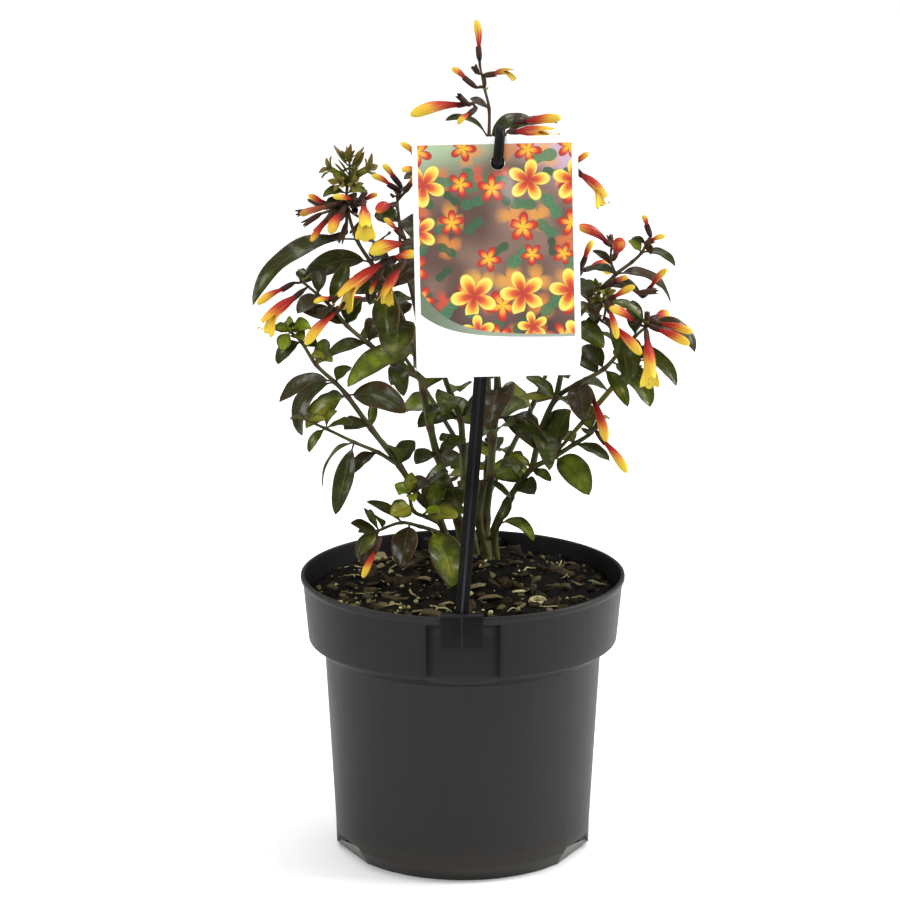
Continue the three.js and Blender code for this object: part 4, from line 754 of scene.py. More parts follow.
def makeCardFinish(style):
    # Print on white card: soft patches of colour with made-up star flowers and leaves scattered over them,
    # a grey-green band under a curved edge, and bare white below it.
    s = style
    f = Finish("printedCard", IOR=1.5, Specular_IOR_Level=0.5, Coat_Roughness=0.12)
    x, down, front = f.value("cardX"), f.value("cardDown"), f.value("front")
    plane = f.node("CombineXYZ", {}, {0: x, 1: down, 2: 0.0})

    # a star in each cell: the distance from its middle in times its reach, three chances, and how near a ray
    def blossoms(seed, spacing, petals, size):
        shifted = f.node("Mapping", {}, {"Vector": plane, "Location": (seed, seed * 1.7, 0)})
        cell = f.node("TexVoronoi", {"voronoi_dimensions": "2D"},
                      {"Vector": shifted, "Scale": 1 / spacing, "Randomness": 0.46})
        away = f.node("VectorMath", {"operation": "SUBTRACT"}, {0: shifted, 1: cell.pick("Position")})
        local = f.node("VectorMath", {"operation": "SCALE"}, {0: away, "Scale": 1 / spacing})
        parts = f.node("SeparateXYZ", {}, {0: local})
        chance = f.node("SeparateColor", {}, {0: cell.pick("Color")})
        angle = f.maths("ARCTAN2", parts.pick("Y"), parts.pick("X")) + chance.pick(0) * 6.28
        away = f.node("VectorMath", {"operation": "LENGTH"}, {0: local}).pick("Value")
        ray = f.maths("ABSOLUTE", f.maths("COSINE", angle * (petals / 2)))
        reach = size * (0.75 + 0.45 * chance.pick(1)) * (0.30 + 0.70 * ray ** (0.8 if petals > 2 else 2.6))
        return away / reach, chance, ray

    blur = f.noise(plane, 0.045, 1)
    mottle = f.noise(plane, 0.9, 3, 0.7)
    ground = f.mix(f.ease(blur + 0.004 * x, 0.40, 0.80), tone(0.095, 0.050, 0.036), tone(0.24, 0.145, 0.11))
    ground = f.mix(f.ease(down + 0.25 * x, 26.0, 5.0, 0.0, 0.9), ground, tone(0.42, 0.55, 0.34))
    ground = f.mix(f.ease(x - down * 1.3, 26.0, 52.0, 0.0, 0.85), ground, tone(0.62, 0.43, 0.56))
    ground = f.mix(f.ease(down, 58.0, 84.0, 0.0, 0.75), ground, tone(0.050, 0.022, 0.026))
    ground = f.mix((mottle - 0.5) * 0.5, ground, tone(0.0, 0.0, 0.0))
    near, chance, ray = blossoms(29.0, 13.0, 3, 0.50)  # blurred ones in the distance
    haze = f.mix(chance.pick(1), tone(0.62, 0.060, 0.030), tone(0.80, 0.40, 0.050))
    ground = f.mix(f.ease(near, 1.25, 0.35, 0.0, 0.75) * (chance.pick(2) > 0.3), ground, haze)
    near, chance, ray = blossoms(41.0, 10.5, 2, 0.52)
    leafHue = f.mix(chance.pick(1), tone(0.012, 0.075, 0.035), tone(0.07, 0.24, 0.11))
    leafHue = f.mix(f.ease(mottle, 0.3, 0.7) * 0.5, leafHue, tone(0.03, 0.06, 0.02))
    picture = f.mix(f.ease(near, 1.05, 0.9) * (chance.pick(2) > 0.35) * 0.9, ground, leafHue)
    near, chance, ray = blossoms(17.0, 15.5, 5, 0.41)
    petal = f.ramp(f.ease(near + 0.25 * (mottle - 0.5), 0.12, 1.0),
                   (0.0, tone(0.80, 0.50, 0.03)), (0.45, tone(0.78, 0.24, 0.03)),
                   (0.7, tone(0.62, 0.05, 0.02)), (1.0, tone(0.34, 0.02, 0.015)))
    petal = f.mix(f.ease(ray, 0.5, 0.05) * 0.6, petal, tone(0.25, 0.02, 0.012))
    picture = f.mix(f.ease(near, 1.05, 0.92) * (chance.pick(2) > 0.25), picture, petal)
    near, chance, ray = blossoms(73.0, 22.5, 5, 0.37)
    petal = f.ramp(f.ease(near + 0.25 * (mottle - 0.5), 0.1, 1.0),
                   (0.0, tone(0.44, 0.03, 0.02)), (0.42, tone(0.66, 0.12, 0.03)),
                   (0.70, tone(0.80, 0.42, 0.04)), (1.0, tone(0.92, 0.76, 0.14)))
    petal = f.mix(f.ease(ray, 0.5, 0.05) * 0.6, petal, tone(0.50, 0.10, 0.02))
    picture = f.mix(f.ease(near, 1.04, 0.94) * (chance.pick(2) > 0.30), picture, petal)
    bandTop = 82.5 - 23.5 * f.maths("EXPONENT", x * -0.087)
    bandHue = f.mix(f.ease(x, 2.0, 34.0), tone(0.135, 0.175, 0.115), tone(0.30, 0.35, 0.27))
    picture = f.mix(f.ease(down, bandTop - 0.25, bandTop), picture, bandHue)
    bandFoot = 83.5 - 12.5 * f.maths("EXPONENT", x * -0.083)
    inside = (x > s["margin"]) * (x < s["width"] - s["margin"] - 0.3)
    inside = inside * (down > s["topMargin"]) * (down < bandFoot)
    colour = f.mix(inside * front, s["paper"], picture)
    f.paint(Base_Color=colour, Roughness=0.30 + 0.10 * mottle,
            Coat_Weight=0.35 * front, Normal=f.bump(f.noise(f.place(), 900, 2), 0.00002, 0.4))
    return f


def makeCard(style):
    # A flat plate: from the hole's edge out to the rounded outline on the front, and back on the other side.
    # Each ray from the hole reaches as far as the nearest side of the outline that it crosses.
    s = style
    half, low, high = s["width"] / 2, s["holeDrop"] - s["height"], s["holeDrop"]
    outline = softened([[-half, low], [half, low], [half, high], [-half, high]], s["corner"], 9, closed=True)
    sides = 128
    a = -np.arange(sides) / sides * 2 * math.pi
    hole = np.array([s["holeShift"], 0.0])
    rays = np.stack([np.cos(a), np.sin(a)], -1)
    nextCorner = np.roll(outline, -1, 0)
    edge = nextCorner - outline
    cross = rays[:, None, 0] * edge[None, :, 1] - rays[:, None, 1] * edge[None, :, 0]
    offset = outline - hole
    cross = np.where(np.abs(cross) < 1e-9, 1e-9, cross)
    far = (offset[None, :, 0] * edge[None, :, 1] - offset[None, :, 1] * edge[None, :, 0]) / cross
    along = (offset[None, :, 0] * rays[:, None, 1] - offset[None, :, 1] * rays[:, None, 0]) / cross
    valid = (far > 0) & (along >= -1e-6) & (along <= 1 + 1e-6)
    reach = np.where(valid, far, np.inf).min(1)
    t = s["thickness"] / 2
    inset = 0.12
    stations = ([(0.0, -t + inset), (0.0, -t)] + [(share, -t) for share in (0.25, 0.5, 0.75)]
                + [(1.0, -t), (1.001, -t + inset), (1.001, t - inset), (1.0, t)]
                + [(share, t) for share in (0.75, 0.5, 0.25)] + [(0.0, t), (0.0, t - inset)])
    rings, fronts = [], []
    for share, depth in stations:
        radius = s["holeRadius"] + (reach - s["holeRadius"]) * min(share, 1)
        radius = radius - (inset if share == 1.0 else 0) + (inset if abs(depth) == t and share == 0.0 else 0)
        flat = hole + rays * radius[:, None]
        rings.append(np.stack([flat[:, 0], np.full(sides, depth), flat[:, 1]], -1))
        fronts.append(np.full(sides, 1.0 if depth <= -t + 1e-9 else 0.0))
    rings, fronts = np.array(rings), np.array(fronts)
    heap = Heap("cardX", "cardDown", "front")
    hung = aboutY(rings - np.array([s["holeShift"], 0, 0]), s["swing"])
    hung = hung + aboutY(np.array([0, 0, stakeStyle["holeHeight"]], float), stakeStyle["lean"])
    heap.loop(intoLabelFrame(hung), cardX=rings[..., 0] + half, cardDown=high - rings[..., 2], front=fronts)
    return heap.piece("labelCard", makeCardFinish(s), "card", "label_card")


makeStake(stakeStyle)
makeCard(cardStyle)


# How the plant grows
# Each row is one shoot: its name, the node that it belongs to, its radius at the foot and at the tip,
# the points that it runs through, and what grows on it. A place is counted in points along the shoot.
#   leaves: place, compass, rise, sag, length, width
#   pairs:  place, compass, rise, sag, length, length of the opposite leaf
#   blooms: place, compass, rise and reach of the stalk, compass, rise and length of the bloom, kind
# Compass is in degrees from +X towards +Y, rise is above level, and sag is how far a leaf arches down.

shootRows = [
  ["tall", "stem_tall", 2.3, 0.7,
   [[11, 24, 119], [10, 24, 140], [12, 20, 160], [13, 16, 178], [15, 12, 201], [13, 8, 228],
    [12, 6, 257], [11, 4, 286], [11, 4, 312], [11, 4, 325], [9, 4, 334], [7, 4, 344]],
   [[3, 290, 45, 40, 29, 9], [3, 85, -10, 40, 21, 8], [4, 265, 15, 50, 44, 12.5],
    [4, 40, -10, 50, 25, 10], [8, 205, 60, 70, 24, 6.5], [8, 40, 40, 50, 25, 6],
    [9, 135, 30, 30, 12, 3.5]],
   [[2, 350, 10, 50, 16, 0], [5, 70, 20, 60, 26, 26], [6, 160, 25, 60, 26, 24],
    [7, 60, 25, 50, 22, 22], [9.9, 100, 30, 40, 6, 5]],
   [[11, 180, 85, 6, 180, 85, 14, "bud"], [10.6, 155, 30, 3, 150, 55, 4, "calyx"],
    [10, 195, 25, 8, 195, 40, 9, "small"], [10, 330, 60, 7, 325, 10, 8, "small"]]],
  ["tipLeft", "stem_tall", 0.9, 0.6,
   [[11, 4, 325], [8, 3, 328], [4, 1, 328]],
   [],
   [],
   [[2, 190, -5, 5, 210, -5, 25, "bud"], [1.5, 215, 15, 8, 220, 40, 6, "calyx"],
    [2, 260, -30, 6, 225, -25, 9, "small"]]],
  ["tipRight", "stem_tall", 1.0, 0.7,
   [[11, 4, 311], [16, 4, 313], [21, 2, 317]],
   [[1.5, 25, 35, 40, 25, 5]],
   [],
   [[2, 335, 35, 6, 335, 10, 18, "bud"], [2, 280, 0, 6, 330, 5, 19, "open"],
    [1.6, 55, 35, 8, 75, 25, 4, "calyx"]]],
  ["stump", "stem_tall", 1.9, 1.8,
   [[11, 24, 123], [7, 20, 141], [9, 17, 159]],
   [],
   [],
   []],
  ["crownTwig", "stem_tall", 1.0, 0.6,
   [[12, 24, 131], [16, 16, 140], [22, 12, 153]],
   [[1, 315, 30, 80, 23, 5.5], [2, 215, -45, 20, 11, 5], [2, 170, 50, 20, 13, 4]],
   [],
   []],
  ["hiddenRight", "stem_tall", 1.2, 0.7,
   [[11, 5, 275], [24, 14, 282], [37, 16, 290], [46, 12, 295]],
   [],
   [[1, 90, 10, 50, 22, 18], [2, 250, 20, 60, 16, 18], [2.8, 100, 20, 50, 9, 9]],
   [[3, 315, 20, 6, 325, -35, 17, "open"], [3, 325, 50, 5, 345, 20, 9, "small"],
    [2.6, 80, 30, 12, 80, 30, 12, "bud"]]],
  ["hiddenLeft", "stem_tall", 1.2, 0.7,
   [[11, 5, 279], [-2, 4, 288], [-12, 0, 296], [-16, -2, 302]],
   [],
   [[1, 80, 15, 50, 20, 16], [2, 200, 30, 60, 14, 16]],
   [[3, 180, 50, 6, 195, 40, 9, "small"], [3, 215, -10, 4, 220, 5, 9, "small"],
    [2.5, 90, -5, 13, 100, 45, 11, "bud"]]],
  ["left", "stem_left", 2.2, 0.9,
   [[1, 22, 120], [-2, 18, 141], [-6, 12, 158], [-11, 8, 173], [-14, 6, 186], [-17, 3, 202],
    [-20, 1, 219], [-26, -2, 236], [-31, -2, 248], [-39, -2, 260], [-45, -2, 270],
    [-49, -2, 284], [-49, 0, 293]],
   [[2, 265, 40, 50, 28, 11], [2, 280, 0, 40, 20, 9], [3, 240, 20, 40, 19, 8],
    [3, 350, 45, 30, 15, 9], [4, 290, 60, 60, 25, 9], [5, 55, 35, 40, 22, 9],
    [6, 215, 25, 70, 44, 9.5], [7, 265, -10, 45, 27, 12.5], [7, 80, 30, 30, 17, 8],
    [8, 215, 20, 40, 27, 9], [8, 40, 50, 40, 21, 9], [9, 200, 25, 75, 34, 9.5],
    [9, 305, 45, 40, 22, 8], [10, 195, 10, 80, 57, 10.5], [10, 55, 0, 40, 16, 8]],
   [[11, 75, 10, 60, 16, 13], [11.6, 20, 20, 50, 10, 11], [12, 340, 45, -30, 11, 10],
    [12, 60, 50, -20, 10, 9]],
   [[11.3, 195, -10, 9, 195, 30, 9, "small"], [11.4, 290, 5, 9, 225, 15, 12, "bud"],
    [11.1, 230, 5, 11, 220, -5, 16, "wilted"], [11, 205, -20, 10, 205, -45, 13, "bud"],
    [11, 260, 0, 12, 245, -30, 13, "fat"], [11.2, 305, 0, 13, 275, -30, 21, "open"],
    [11.4, 40, -20, 9, 30, 20, 8, "small"], [10.8, 220, -55, 11, 210, -10, 8, "calyx"],
    [11, 25, -60, 10, 145, -45, 10, "calyx"]]],
  ["leftSpray", "stem_left", 1.0, 0.6,
   [[-49, 0, 293], [-48, 2, 297], [-48, 3, 303]],
   [],
   [[0.6, 200, 20, -20, 10, 11], [1, 20, 25, -20, 12, 9], [1.6, 185, 40, -30, 12, 11],
    [2, 60, 70, -20, 8, 8]],
   []],
  ["leftInner", "stem_left", 1.6, 0.7,
   [[-17, 3, 202], [-18, 10, 221], [-21, 12, 241], [-26, 8, 260], [-27, 4, 276], [-28, 2, 288]],
   [[1, 50, -10, 50, 22, 9], [1, 140, -25, 50, 20, 8], [3, 240, 10, 60, 26, 8],
    [3, 45, 40, 50, 18, 9], [4, 150, 35, 50, 13, 8], [4, 285, 25, 60, 30, 8]],
   [[2, 60, 20, 50, 22, 18], [5, 80, 30, 40, 12, 10]],
   [[4.6, 245, 60, 11, 215, 30, 12, "bud"], [5, 250, 75, 9, 210, 50, 9, "small"],
    [4.4, 260, 20, 17, 240, 0, 12, "fat"], [4.2, 270, -15, 14, 225, 40, 11, "bud"],
    [3.6, 275, 0, 16, 215, -5, 17, "fat"], [3.2, 270, -20, 14, 235, -40, 17, "open"],
    [4.8, 310, 45, 11, 305, 45, 10, "small"]]],
  ["leftTwig", "stem_left", 1.0, 0.7,
   [[-26, 8, 258], [-29, -2, 262], [-33, -10, 263]],
   [[1.4, 145, -20, 30, 16, 6]],
   [],
   [[2, 245, -10, 5, 215, -30, 25, "open"], [2, 260, 15, 6, 265, 15, 17, "bud"],
    [1.8, 175, -65, 9, 230, -50, 8, "small"]]],
  ["upperLeft", "stem_left", 1.5, 0.8,
   [[-19, 2, 209], [-29, -5, 216], [-40, -12, 227], [-49, -17, 236], [-55, -19, 244],
    [-61, -20, 250], [-68, -20, 256]],
   [[1, 280, 5, 50, 25, 8], [1, 105, 25, 40, 22, 8], [2, 210, 15, 50, 21, 6],
    [2, 85, 45, 40, 18, 7], [3, 200, 35, 30, 21, 9], [3, 10, 75, 30, 13, 9],
    [4, 40, 80, 30, 21, 7], [4, 265, 10, 50, 16, 7], [5, 80, 60, 30, 14, 6],
    [5, 225, 0, 40, 16, 7], [6, 180, 80, 20, 6, 5]],
   [[6, 100, 50, 30, 9, 7]],
   [[6, 195, -15, 8, 215, -20, 15, "bud"], [5.6, 230, -20, 8, 215, -30, 20, "open"],
    [4.4, 300, 30, 6, 225, 0, 11, "bud"], [4, 295, 5, 8, 220, -40, 20, "bud"]]],
  ["lowLeft", "stem_low_left", 1.8, 0.8,
   [[-2, 8, 122], [-10, 0, 146], [-18, -6, 157], [-27, -14, 174], [-39, -20, 192],
    [-49, -23, 207], [-54, -24, 213], [-62, -25, 221], [-68, -26, 231], [-73, -27, 236]],
   [[2, 325, 60, 30, 21, 9], [3, 250, 55, 40, 27, 8], [3, 40, 65, 30, 13, 7],
    [4, 235, 30, 40, 20, 8], [4, 80, 60, 20, 13, 4], [5, 335, 20, 60, 29, 11],
    [5, 155, -10, 40, 22, 9], [6, 205, 0, 110, 31, 8], [6, 30, 50, 30, 10, 7],
    [6.1, 150, 0, 50, 31, 8], [7, 310, 35, 40, 12, 5], [7, 70, 50, 30, 15, 6],
    [8, 200, 0, 80, 15, 6], [8, 320, 10, 30, 9, 6]],
   [[9, 190, 20, 30, 10, 9], [9, 280, 30, 20, 10, 9], [9, 100, 60, 0, 7, 7]],
   []],
  ["lowLeftTwig", "stem_low_left", 1.1, 0.6,
   [[-27, -14, 174], [-36, -22, 182], [-46, -28, 188], [-58, -32, 195], [-66, -34, 199]],
   [[1, 215, -5, 50, 16, 6], [2, 230, -55, 25, 32, 8], [2, 155, -20, 70, 28, 6],
    [3, 210, -20, 60, 13, 4], [3, 340, 65, 20, 10, 7], [3, 315, 30, 30, 18, 7]],
   [[4, 180, 20, 30, 8, 8], [4, 100, 40, 10, 8, 7]],
   []],
  ["rosette", "stem_low_left", 1.2, 0.8,
   [[-9, 1, 144], [-15, -6, 149], [-21, -14, 154], [-23, -18, 163]],
   [[3, 235, 25, 30, 8, 6], [3, 330, 70, 20, 8, 6], [2.3, 230, 10, 30, 14, 9],
    [1.4, 320, 35, 40, 11, 6], [3, 35, 50, 40, 12, 7], [1.2, 335, 25, 40, 16, 11]],
   [],
   []],
  ["overSoil", "stem_low_left", 1.2, 0.6,
   [[-7, 3, 136], [-12, -3, 142], [-18, -10, 146], [-26, -18, 150], [-34, -24, 149],
    [-37, -28, 148]],
   [[2.6, 255, -25, 50, 22, 9.5], [1.4, 305, -30, 45, 29, 12], [3, 175, 45, 30, 18, 5],
    [4, 210, -15, 60, 18, 7], [4, 240, 55, 30, 16, 7], [5, 210, 35, 20, 14, 6],
    [5, 255, -20, 20, 17, 5], [4.4, 150, 55, 10, 12, 3]],
   [],
   [[5, 270, -30, 9, 225, -55, 14, "bud"]]],
  ["right", "stem_right", 1.9, 0.9,
   [[15, 30, 118], [14, 28, 134], [19, 22, 148], [24, 17, 157], [30, 12, 166], [39, 8, 172],
    [48, 4, 179], [55, 0, 185], [58, -4, 192]],
   [[3, 220, 75, 30, 10, 8], [3, 295, 25, 50, 17, 8], [4, 310, -5, 20, 13, 5],
    [4, 195, 70, 30, 13, 4], [5, 310, -5, 45, 27, 10], [5, 345, 75, 10, 23, 14],
    [6, 325, 0, 30, 19, 6], [6, 125, 25, 30, 15, 8], [7, 285, 15, 50, 17, 8],
    [7, 105, 55, 30, 16, 7]],
   [[8, 200, 20, 40, 7, 6]],
   [[8, 240, 65, 12, 295, -50, 21, "bud"], [7.6, 295, -40, 8, 325, -45, 18, "bud"]]],
  ["rightUp", "stem_right", 1.6, 0.8,
   [[30, 12, 166], [34, 14, 183], [40, 8, 198], [49, 2, 206], [60, -4, 214], [67, -8, 223],
    [73, -11, 230], [78, -13, 235]],
   [[1, 275, 10, 55, 35, 9], [1, 140, 25, 40, 19, 9], [2, 285, 25, 30, 17, 6],
    [2, 155, 60, 40, 17, 7], [3, 285, -5, 40, 26, 9], [3, 40, 0, 40, 20, 8],
    [4, 315, -15, 60, 21, 6], [4, 130, 50, 40, 16, 8], [4.4, 315, -5, 60, 29, 11],
    [5, 345, 5, 70, 30, 8], [5, 215, 60, 40, 14, 7], [6, 275, 5, 60, 25, 7],
    [6, 95, 75, 40, 17, 7], [7, 350, 35, 90, 27, 9], [7, 205, 65, 60, 22, 6],
    [7, 40, 50, 30, 14, 6]],
   [[7, 100, 60, 30, 8, 7]],
   [[7, 210, 25, 6, 220, 30, 17, "bud"], [7, 350, 20, 5, 340, -10, 16, "bud"],
    [7, 305, 5, 6, 325, -15, 18, "bud"], [7, 270, -25, 8, 275, -45, 21, "open"],
    [6.8, 45, 30, 7, 60, -5, 12, "fat"], [7, 30, 65, 4, 0, 70, 5, "calyx"]]],
  ["rightInner", "stem_right", 1.5, 0.8,
   [[40, 8, 198], [44, 12, 216], [48, 10, 231], [54, 6, 240], [60, 3, 248], [65, 2, 254],
    [72, 4, 259], [76, 4, 263], [78, 4, 267]],
   [[1, 130, 30, 50, 17, 9], [1, 320, 10, 50, 19, 8], [2, 145, 55, 50, 17, 9],
    [2, 300, 5, 40, 25, 9], [3, 285, 20, 40, 25, 8], [3, 120, 60, 40, 15, 8],
    [4, 245, 25, 40, 21, 8], [4, 25, 10, 40, 18, 7], [5, 0, 10, 80, 32, 8],
    [5, 135, 15, 40, 18, 5], [7, 345, 20, 80, 17, 5], [7, 180, 55, 30, 8, 5],
    [8, 180, 45, 50, 7, 3]],
   [[8, 270, 10, 40, 7, 7]],
   [[8, 0, 85, 7, 180, 70, 6, "small"], [7.8, 295, 30, 5, 325, 25, 8, "small"],
    [4.4, 280, 10, 9, 330, 25, 8, "small"], [4, 285, -10, 12, 320, 30, 14, "bud"],
    [4.6, 0, -15, 17, 330, 50, 13, "bud"], [4.6, 345, -15, 17, 330, 10, 8, "calyx"]]],
  ["rightTwig", "stem_right", 0.9, 0.6,
   [[65, 2, 254], [63, 4, 259], [63, 5, 264]],
   [[0.6, 150, 55, 50, 12, 3.5]],
   [],
   [[2, 250, 50, 5, 215, 30, 19, "bud"], [2, 90, 50, 5, 120, 65, 5, "calyx"],
    [1.6, 280, 10, 9, 280, 35, 15, "fat"]]],
  ["rightMid", "stem_right", 1.1, 0.7,
   [[54, 6, 240], [58, -4, 236], [61, -10, 235]],
   [[1, 240, -5, 20, 12, 5], [1, 260, 55, 30, 19, 6], [2, 300, 10, 70, 31, 6]],
   [],
   [[2, 285, 10, 8, 315, -30, 20, "bud"], [1.4, 305, 60, 12, 305, -20, 16, "bud"]]],
  ["centre", "stem_centre", 2.1, 0.8,
   [[7, 34, 116], [3, 32, 137], [1, 28, 157], [0, 26, 172], [-1, 24, 185], [-5, 22, 196],
    [-9, 20, 209], [-12, 18, 228], [-14, 18, 248], [-14, 22, 267], [-12, 26, 279]],
   [[3, 235, 40, 40, 19, 8], [3, 350, 5, 40, 13, 9], [4, 230, 30, 60, 25, 10],
    [4, 330, 50, 40, 22, 8]],
   [[2, 120, 10, 50, 20, 20], [5, 80, 20, 60, 24, 22], [6, 170, 20, 60, 24, 24],
    [7, 80, 25, 60, 24, 20], [8, 350, 25, 60, 24, 22], [9, 90, 25, 50, 16, 14],
    [10, 0, 30, 40, 10, 10]],
   [[10, 85, 50, 6, 80, 55, 15, "bud"], [10, 60, 10, 9, 70, 20, 18, "open"],
    [9.8, 110, 15, 12, 110, 20, 16, "bud"], [9.6, 80, -5, 20, 85, -20, 28, "bud"]]],
  ["back", "stem_back", 2.0, 0.8,
   [[10, 44, 114], [9, 48, 133], [11, 58, 153], [12, 66, 176], [11, 72, 202], [10, 74, 227],
    [10, 76, 249]],
   [],
   [[2, 100, 15, 50, 22, 0], [2, 10, 15, 50, 20, 20], [3, 80, 15, 60, 22, 20],
    [4, 160, 20, 60, 22, 24], [5, 75, 20, 60, 18, 20], [6, 0, 30, 50, 11, 10]],
   [[6, 85, 45, 6, 85, 35, 15, "bud"], [6, 120, 15, 7, 125, 15, 15, "open"],
    [5.8, 50, 40, 8, 65, 0, 16, "bud"]]],
  ["backLeft", "stem_back", 1.4, 0.7,
   [[10, 52, 141], [1, 58, 160], [-11, 62, 180], [-22, 62, 198], [-31, 58, 214], [-37, 54, 231]],
   [],
   [[1, 60, 15, 50, 20, 18], [2, 140, 20, 60, 22, 22], [3, 60, 20, 60, 20, 20],
    [4, 150, 20, 60, 18, 18], [5, 60, 30, 50, 9, 9]],
   [[5, 180, 55, 6, 155, 40, 11, "bud"], [5, 80, 40, 8, 70, 45, 12, "bud"],
    [4.8, 140, 15, 9, 125, -15, 16, "open"]]],
  ["backRight", "stem_back", 1.5, 0.7,
   [[10, 52, 141], [20, 54, 161], [31, 54, 184], [39, 54, 204], [45, 50, 225], [50, 46, 246]],
   [],
   [[1, 110, 15, 50, 20, 18], [2, 40, 20, 60, 22, 22], [3, 110, 20, 60, 20, 22],
    [4, 30, 20, 60, 20, 18], [5, 100, 30, 50, 9, 9]],
   [[5, 325, 60, 7, 25, 65, 10, "small"], [5, 105, 40, 8, 110, 35, 13, "bud"],
    [4.8, 40, 25, 9, 55, 0, 15, "open"]]],
]

rootedShoots = ["tall", "left", "lowLeft", "right", "centre", "back"]

# Leaves that are only in this model, most of them small and young: place, compass, rise, sag, length, width,
# roll and tint.
addedLeaves = dict(
    left=[[8.1, 270, -35, 45, 26, 12.5, 5, 0.44], [11.5, 285, 5, 40, 10, 8, 10, 0.22],
          [11.3, 205, 0, 30, 11, 6, -30, 0.12]],
    lowLeft=[[5, 190, -15, 45, 23, 10, -55, 0.72], [9, 205, -45, 40, 9, 7, -50, 0.90],
             [9, 330, 35, 40, 11, 8, 45, 0.95], [9, 200, 30, 40, 8, 6, -40, 0.90],
             [8.6, 300, 20, 50, 9, 7, 25, 0.88], [7.4, 320, 25, 50, 9, 6, 40, 0.86]],
    rosette=[[3, 160, 40, 20, 8, 6, -45, 0.97], [3, 75, 75, 20, 10, 6, 0, 0.97],
             [1, 50, 76, 15, 25, 12, 15, 0.64], [1, 350, 40, 60, 18, 11, 45, 0.57],
             [3, 290, 5, 40, 7, 5, 10, 0.95]],
    overSoil=[[5, 225, -35, 40, 16, 8, -40, 0.08], [4.6, 190, 20, 40, 9, 6, -40, 0.3]],
    tall=[[3.5, 318, 8, 65, 38, 10, 42, 0.34]],
    rightUp=[[2, 190, 10, 15, 17, 5, -35, 0.84], [5, 280, 20, 30, 9, 5, 10, 0.90],
             [5, 320, 35, 20, 8, 4, 40, 0.93], [4.9, 250, 10, 20, 7, 4, -10, 0.90]],
)
# Open cups of sepals that are only in this model: place on the shoot, where the cup stands, its compass and
# rise, the length of a sepal, how far the sepals lean out, and how pale they are.
openCups = dict(
    leftSpray=[[1.9, -48.2, 3, 303, 265, 80, 5.0, 34, 0.15], [1.5, -56, 2, 299.5, 195, 30, 6.2, 56, 0.0],
               [1.5, -41, 2, 299, 345, 30, 6.8, 56, 0.1],
               [1.0, -51.5, -2.5, 294.5, 235, 20, 5.2, 44, 0.25],
               [1.0, -46.2, -2.5, 293.5, 290, 10, 5.0, 46, 0.50]],
    rightInner=[[4.9, 57, 0, 248.5, 262, 28, 4.6, 44, 1.0], [4.8, 61.2, -2, 246.5, 285, 20, 4.6, 48, 0.85],
                [4.7, 61.6, -2.5, 242.5, 275, 5, 4.4, 45, 0.95],
                [4.6, 57.5, 0, 243.5, 240, 15, 4.2, 38, 0.75]],
    right=[[4.9, 70.3, -5, 217, 260, 30, 4.2, 40, 0.8], [4.9, 73.0, -5, 214.5, 290, 15, 4.0, 45, 0.7],
           [4.9, 74.8, -4, 218, 320, 45, 4.0, 35, 0.6]],
)
# Spent calyces that are only in this model: place on the shoot, where the mouth stands, its compass and
# rise, and the length that sets how far its teeth reach.
spentCups = dict(
    left=[[11.2, -66.5, -4, 282.5, 195, -8, 8], [11.4, -62.5, 3, 284.8, 150, 25, 7],
          [11.1, -64.5, 3, 277.5, 190, -30, 8], [11.0, -59.5, -7, 277.3, 215, -40, 8],
          [11.3, -45.5, -9, 283.8, 270, 20, 8], [11.4, -42.8, 4, 287.0, 60, 35, 7],
          [11.0, -50.5, -10, 274.5, 240, -55, 9]],
)
# How far some blooms are redder than their neighbours.
bloomNotes = {("rightTwig", 2): 0.42, ("rightTwig", 0): 0.34, ("leftInner", 2): 0.40, ("leftTwig", 0): 0.10,
              ("rightUp", 0): 0.12, ("left", 2): 0.25, ("left", 5): -0.30}
# How some blooms differ from their rows: one has opened and withers, another is short.
bloomChanges = {("tall", 3): dict(kind="open", longer=1.4, lift=2, wider=1.25, age=0.75),
                ("left", 5): dict(longer=0.68, wider=1.05)}
# How some leaves differ from their neighbours: tint, and times as wide.
leafNotes = {
    ("left", 6): (0.72, 1.1), ("left", 7): (0.46, 1.2), ("left", 13): (0.34, 1.0), ("left", 11): (0.36, 1.0),
    ("lowLeft", 5): (0.20, 1.1), ("lowLeft", 7): (0.22, 0.9), ("lowLeft", 9): (0.28, 1.1),
    ("lowLeft", 10): (0.84, 1.3), ("lowLeft", 2): (0.44, 1.3), ("lowLeftTwig", 1): (0.30, 1.0),
    ("overSoil", 0): (0.10, 1.15), ("overSoil", 1): (0.70, 1.2), ("rosette", 4): (0.15, 1.1),
    ("tall", 2): (0.10, 1.4), ("right", 4): (0.70, 1.15), ("right", 5): (0.44, 1.3),
    ("rightUp", 0): (0.50, 1.1), ("rightUp", 4): (0.14, 1.2), ("right", 0): (0.46, 1.2),
    ("right", 1): (0.46, 1.2),
}
pairWidth = 0.45        # a leaf of a pair is this share of its length wide
tipInset = 0.08         # what grows at the very tip is rooted a little below it
calyxLength = 5
bloomGap = 0.3          # a bloom stands this far off its calyx
cornerMiss = 0.02       # a tip is on the frame when a corner of its node is nearer than this
rimTurn = 65            # the corner that an open bloom is known by stands this far round its rim

# Turns, lifts and shortenings by which a leaf or bloom may have been moved to stay clear of the others.
ways = [(1, 0), (-1, 0), (0, 1), (0, -1), (1, 1), (-1, 1), (1, -1), (-1, -1)]
moves = np.array([(away * a, away * b, size) for size in (1, 0.84, 0.68) for away in (0, 10, 20, 30, 45)
                  for a, b in (ways if away else ways[:1])], float)


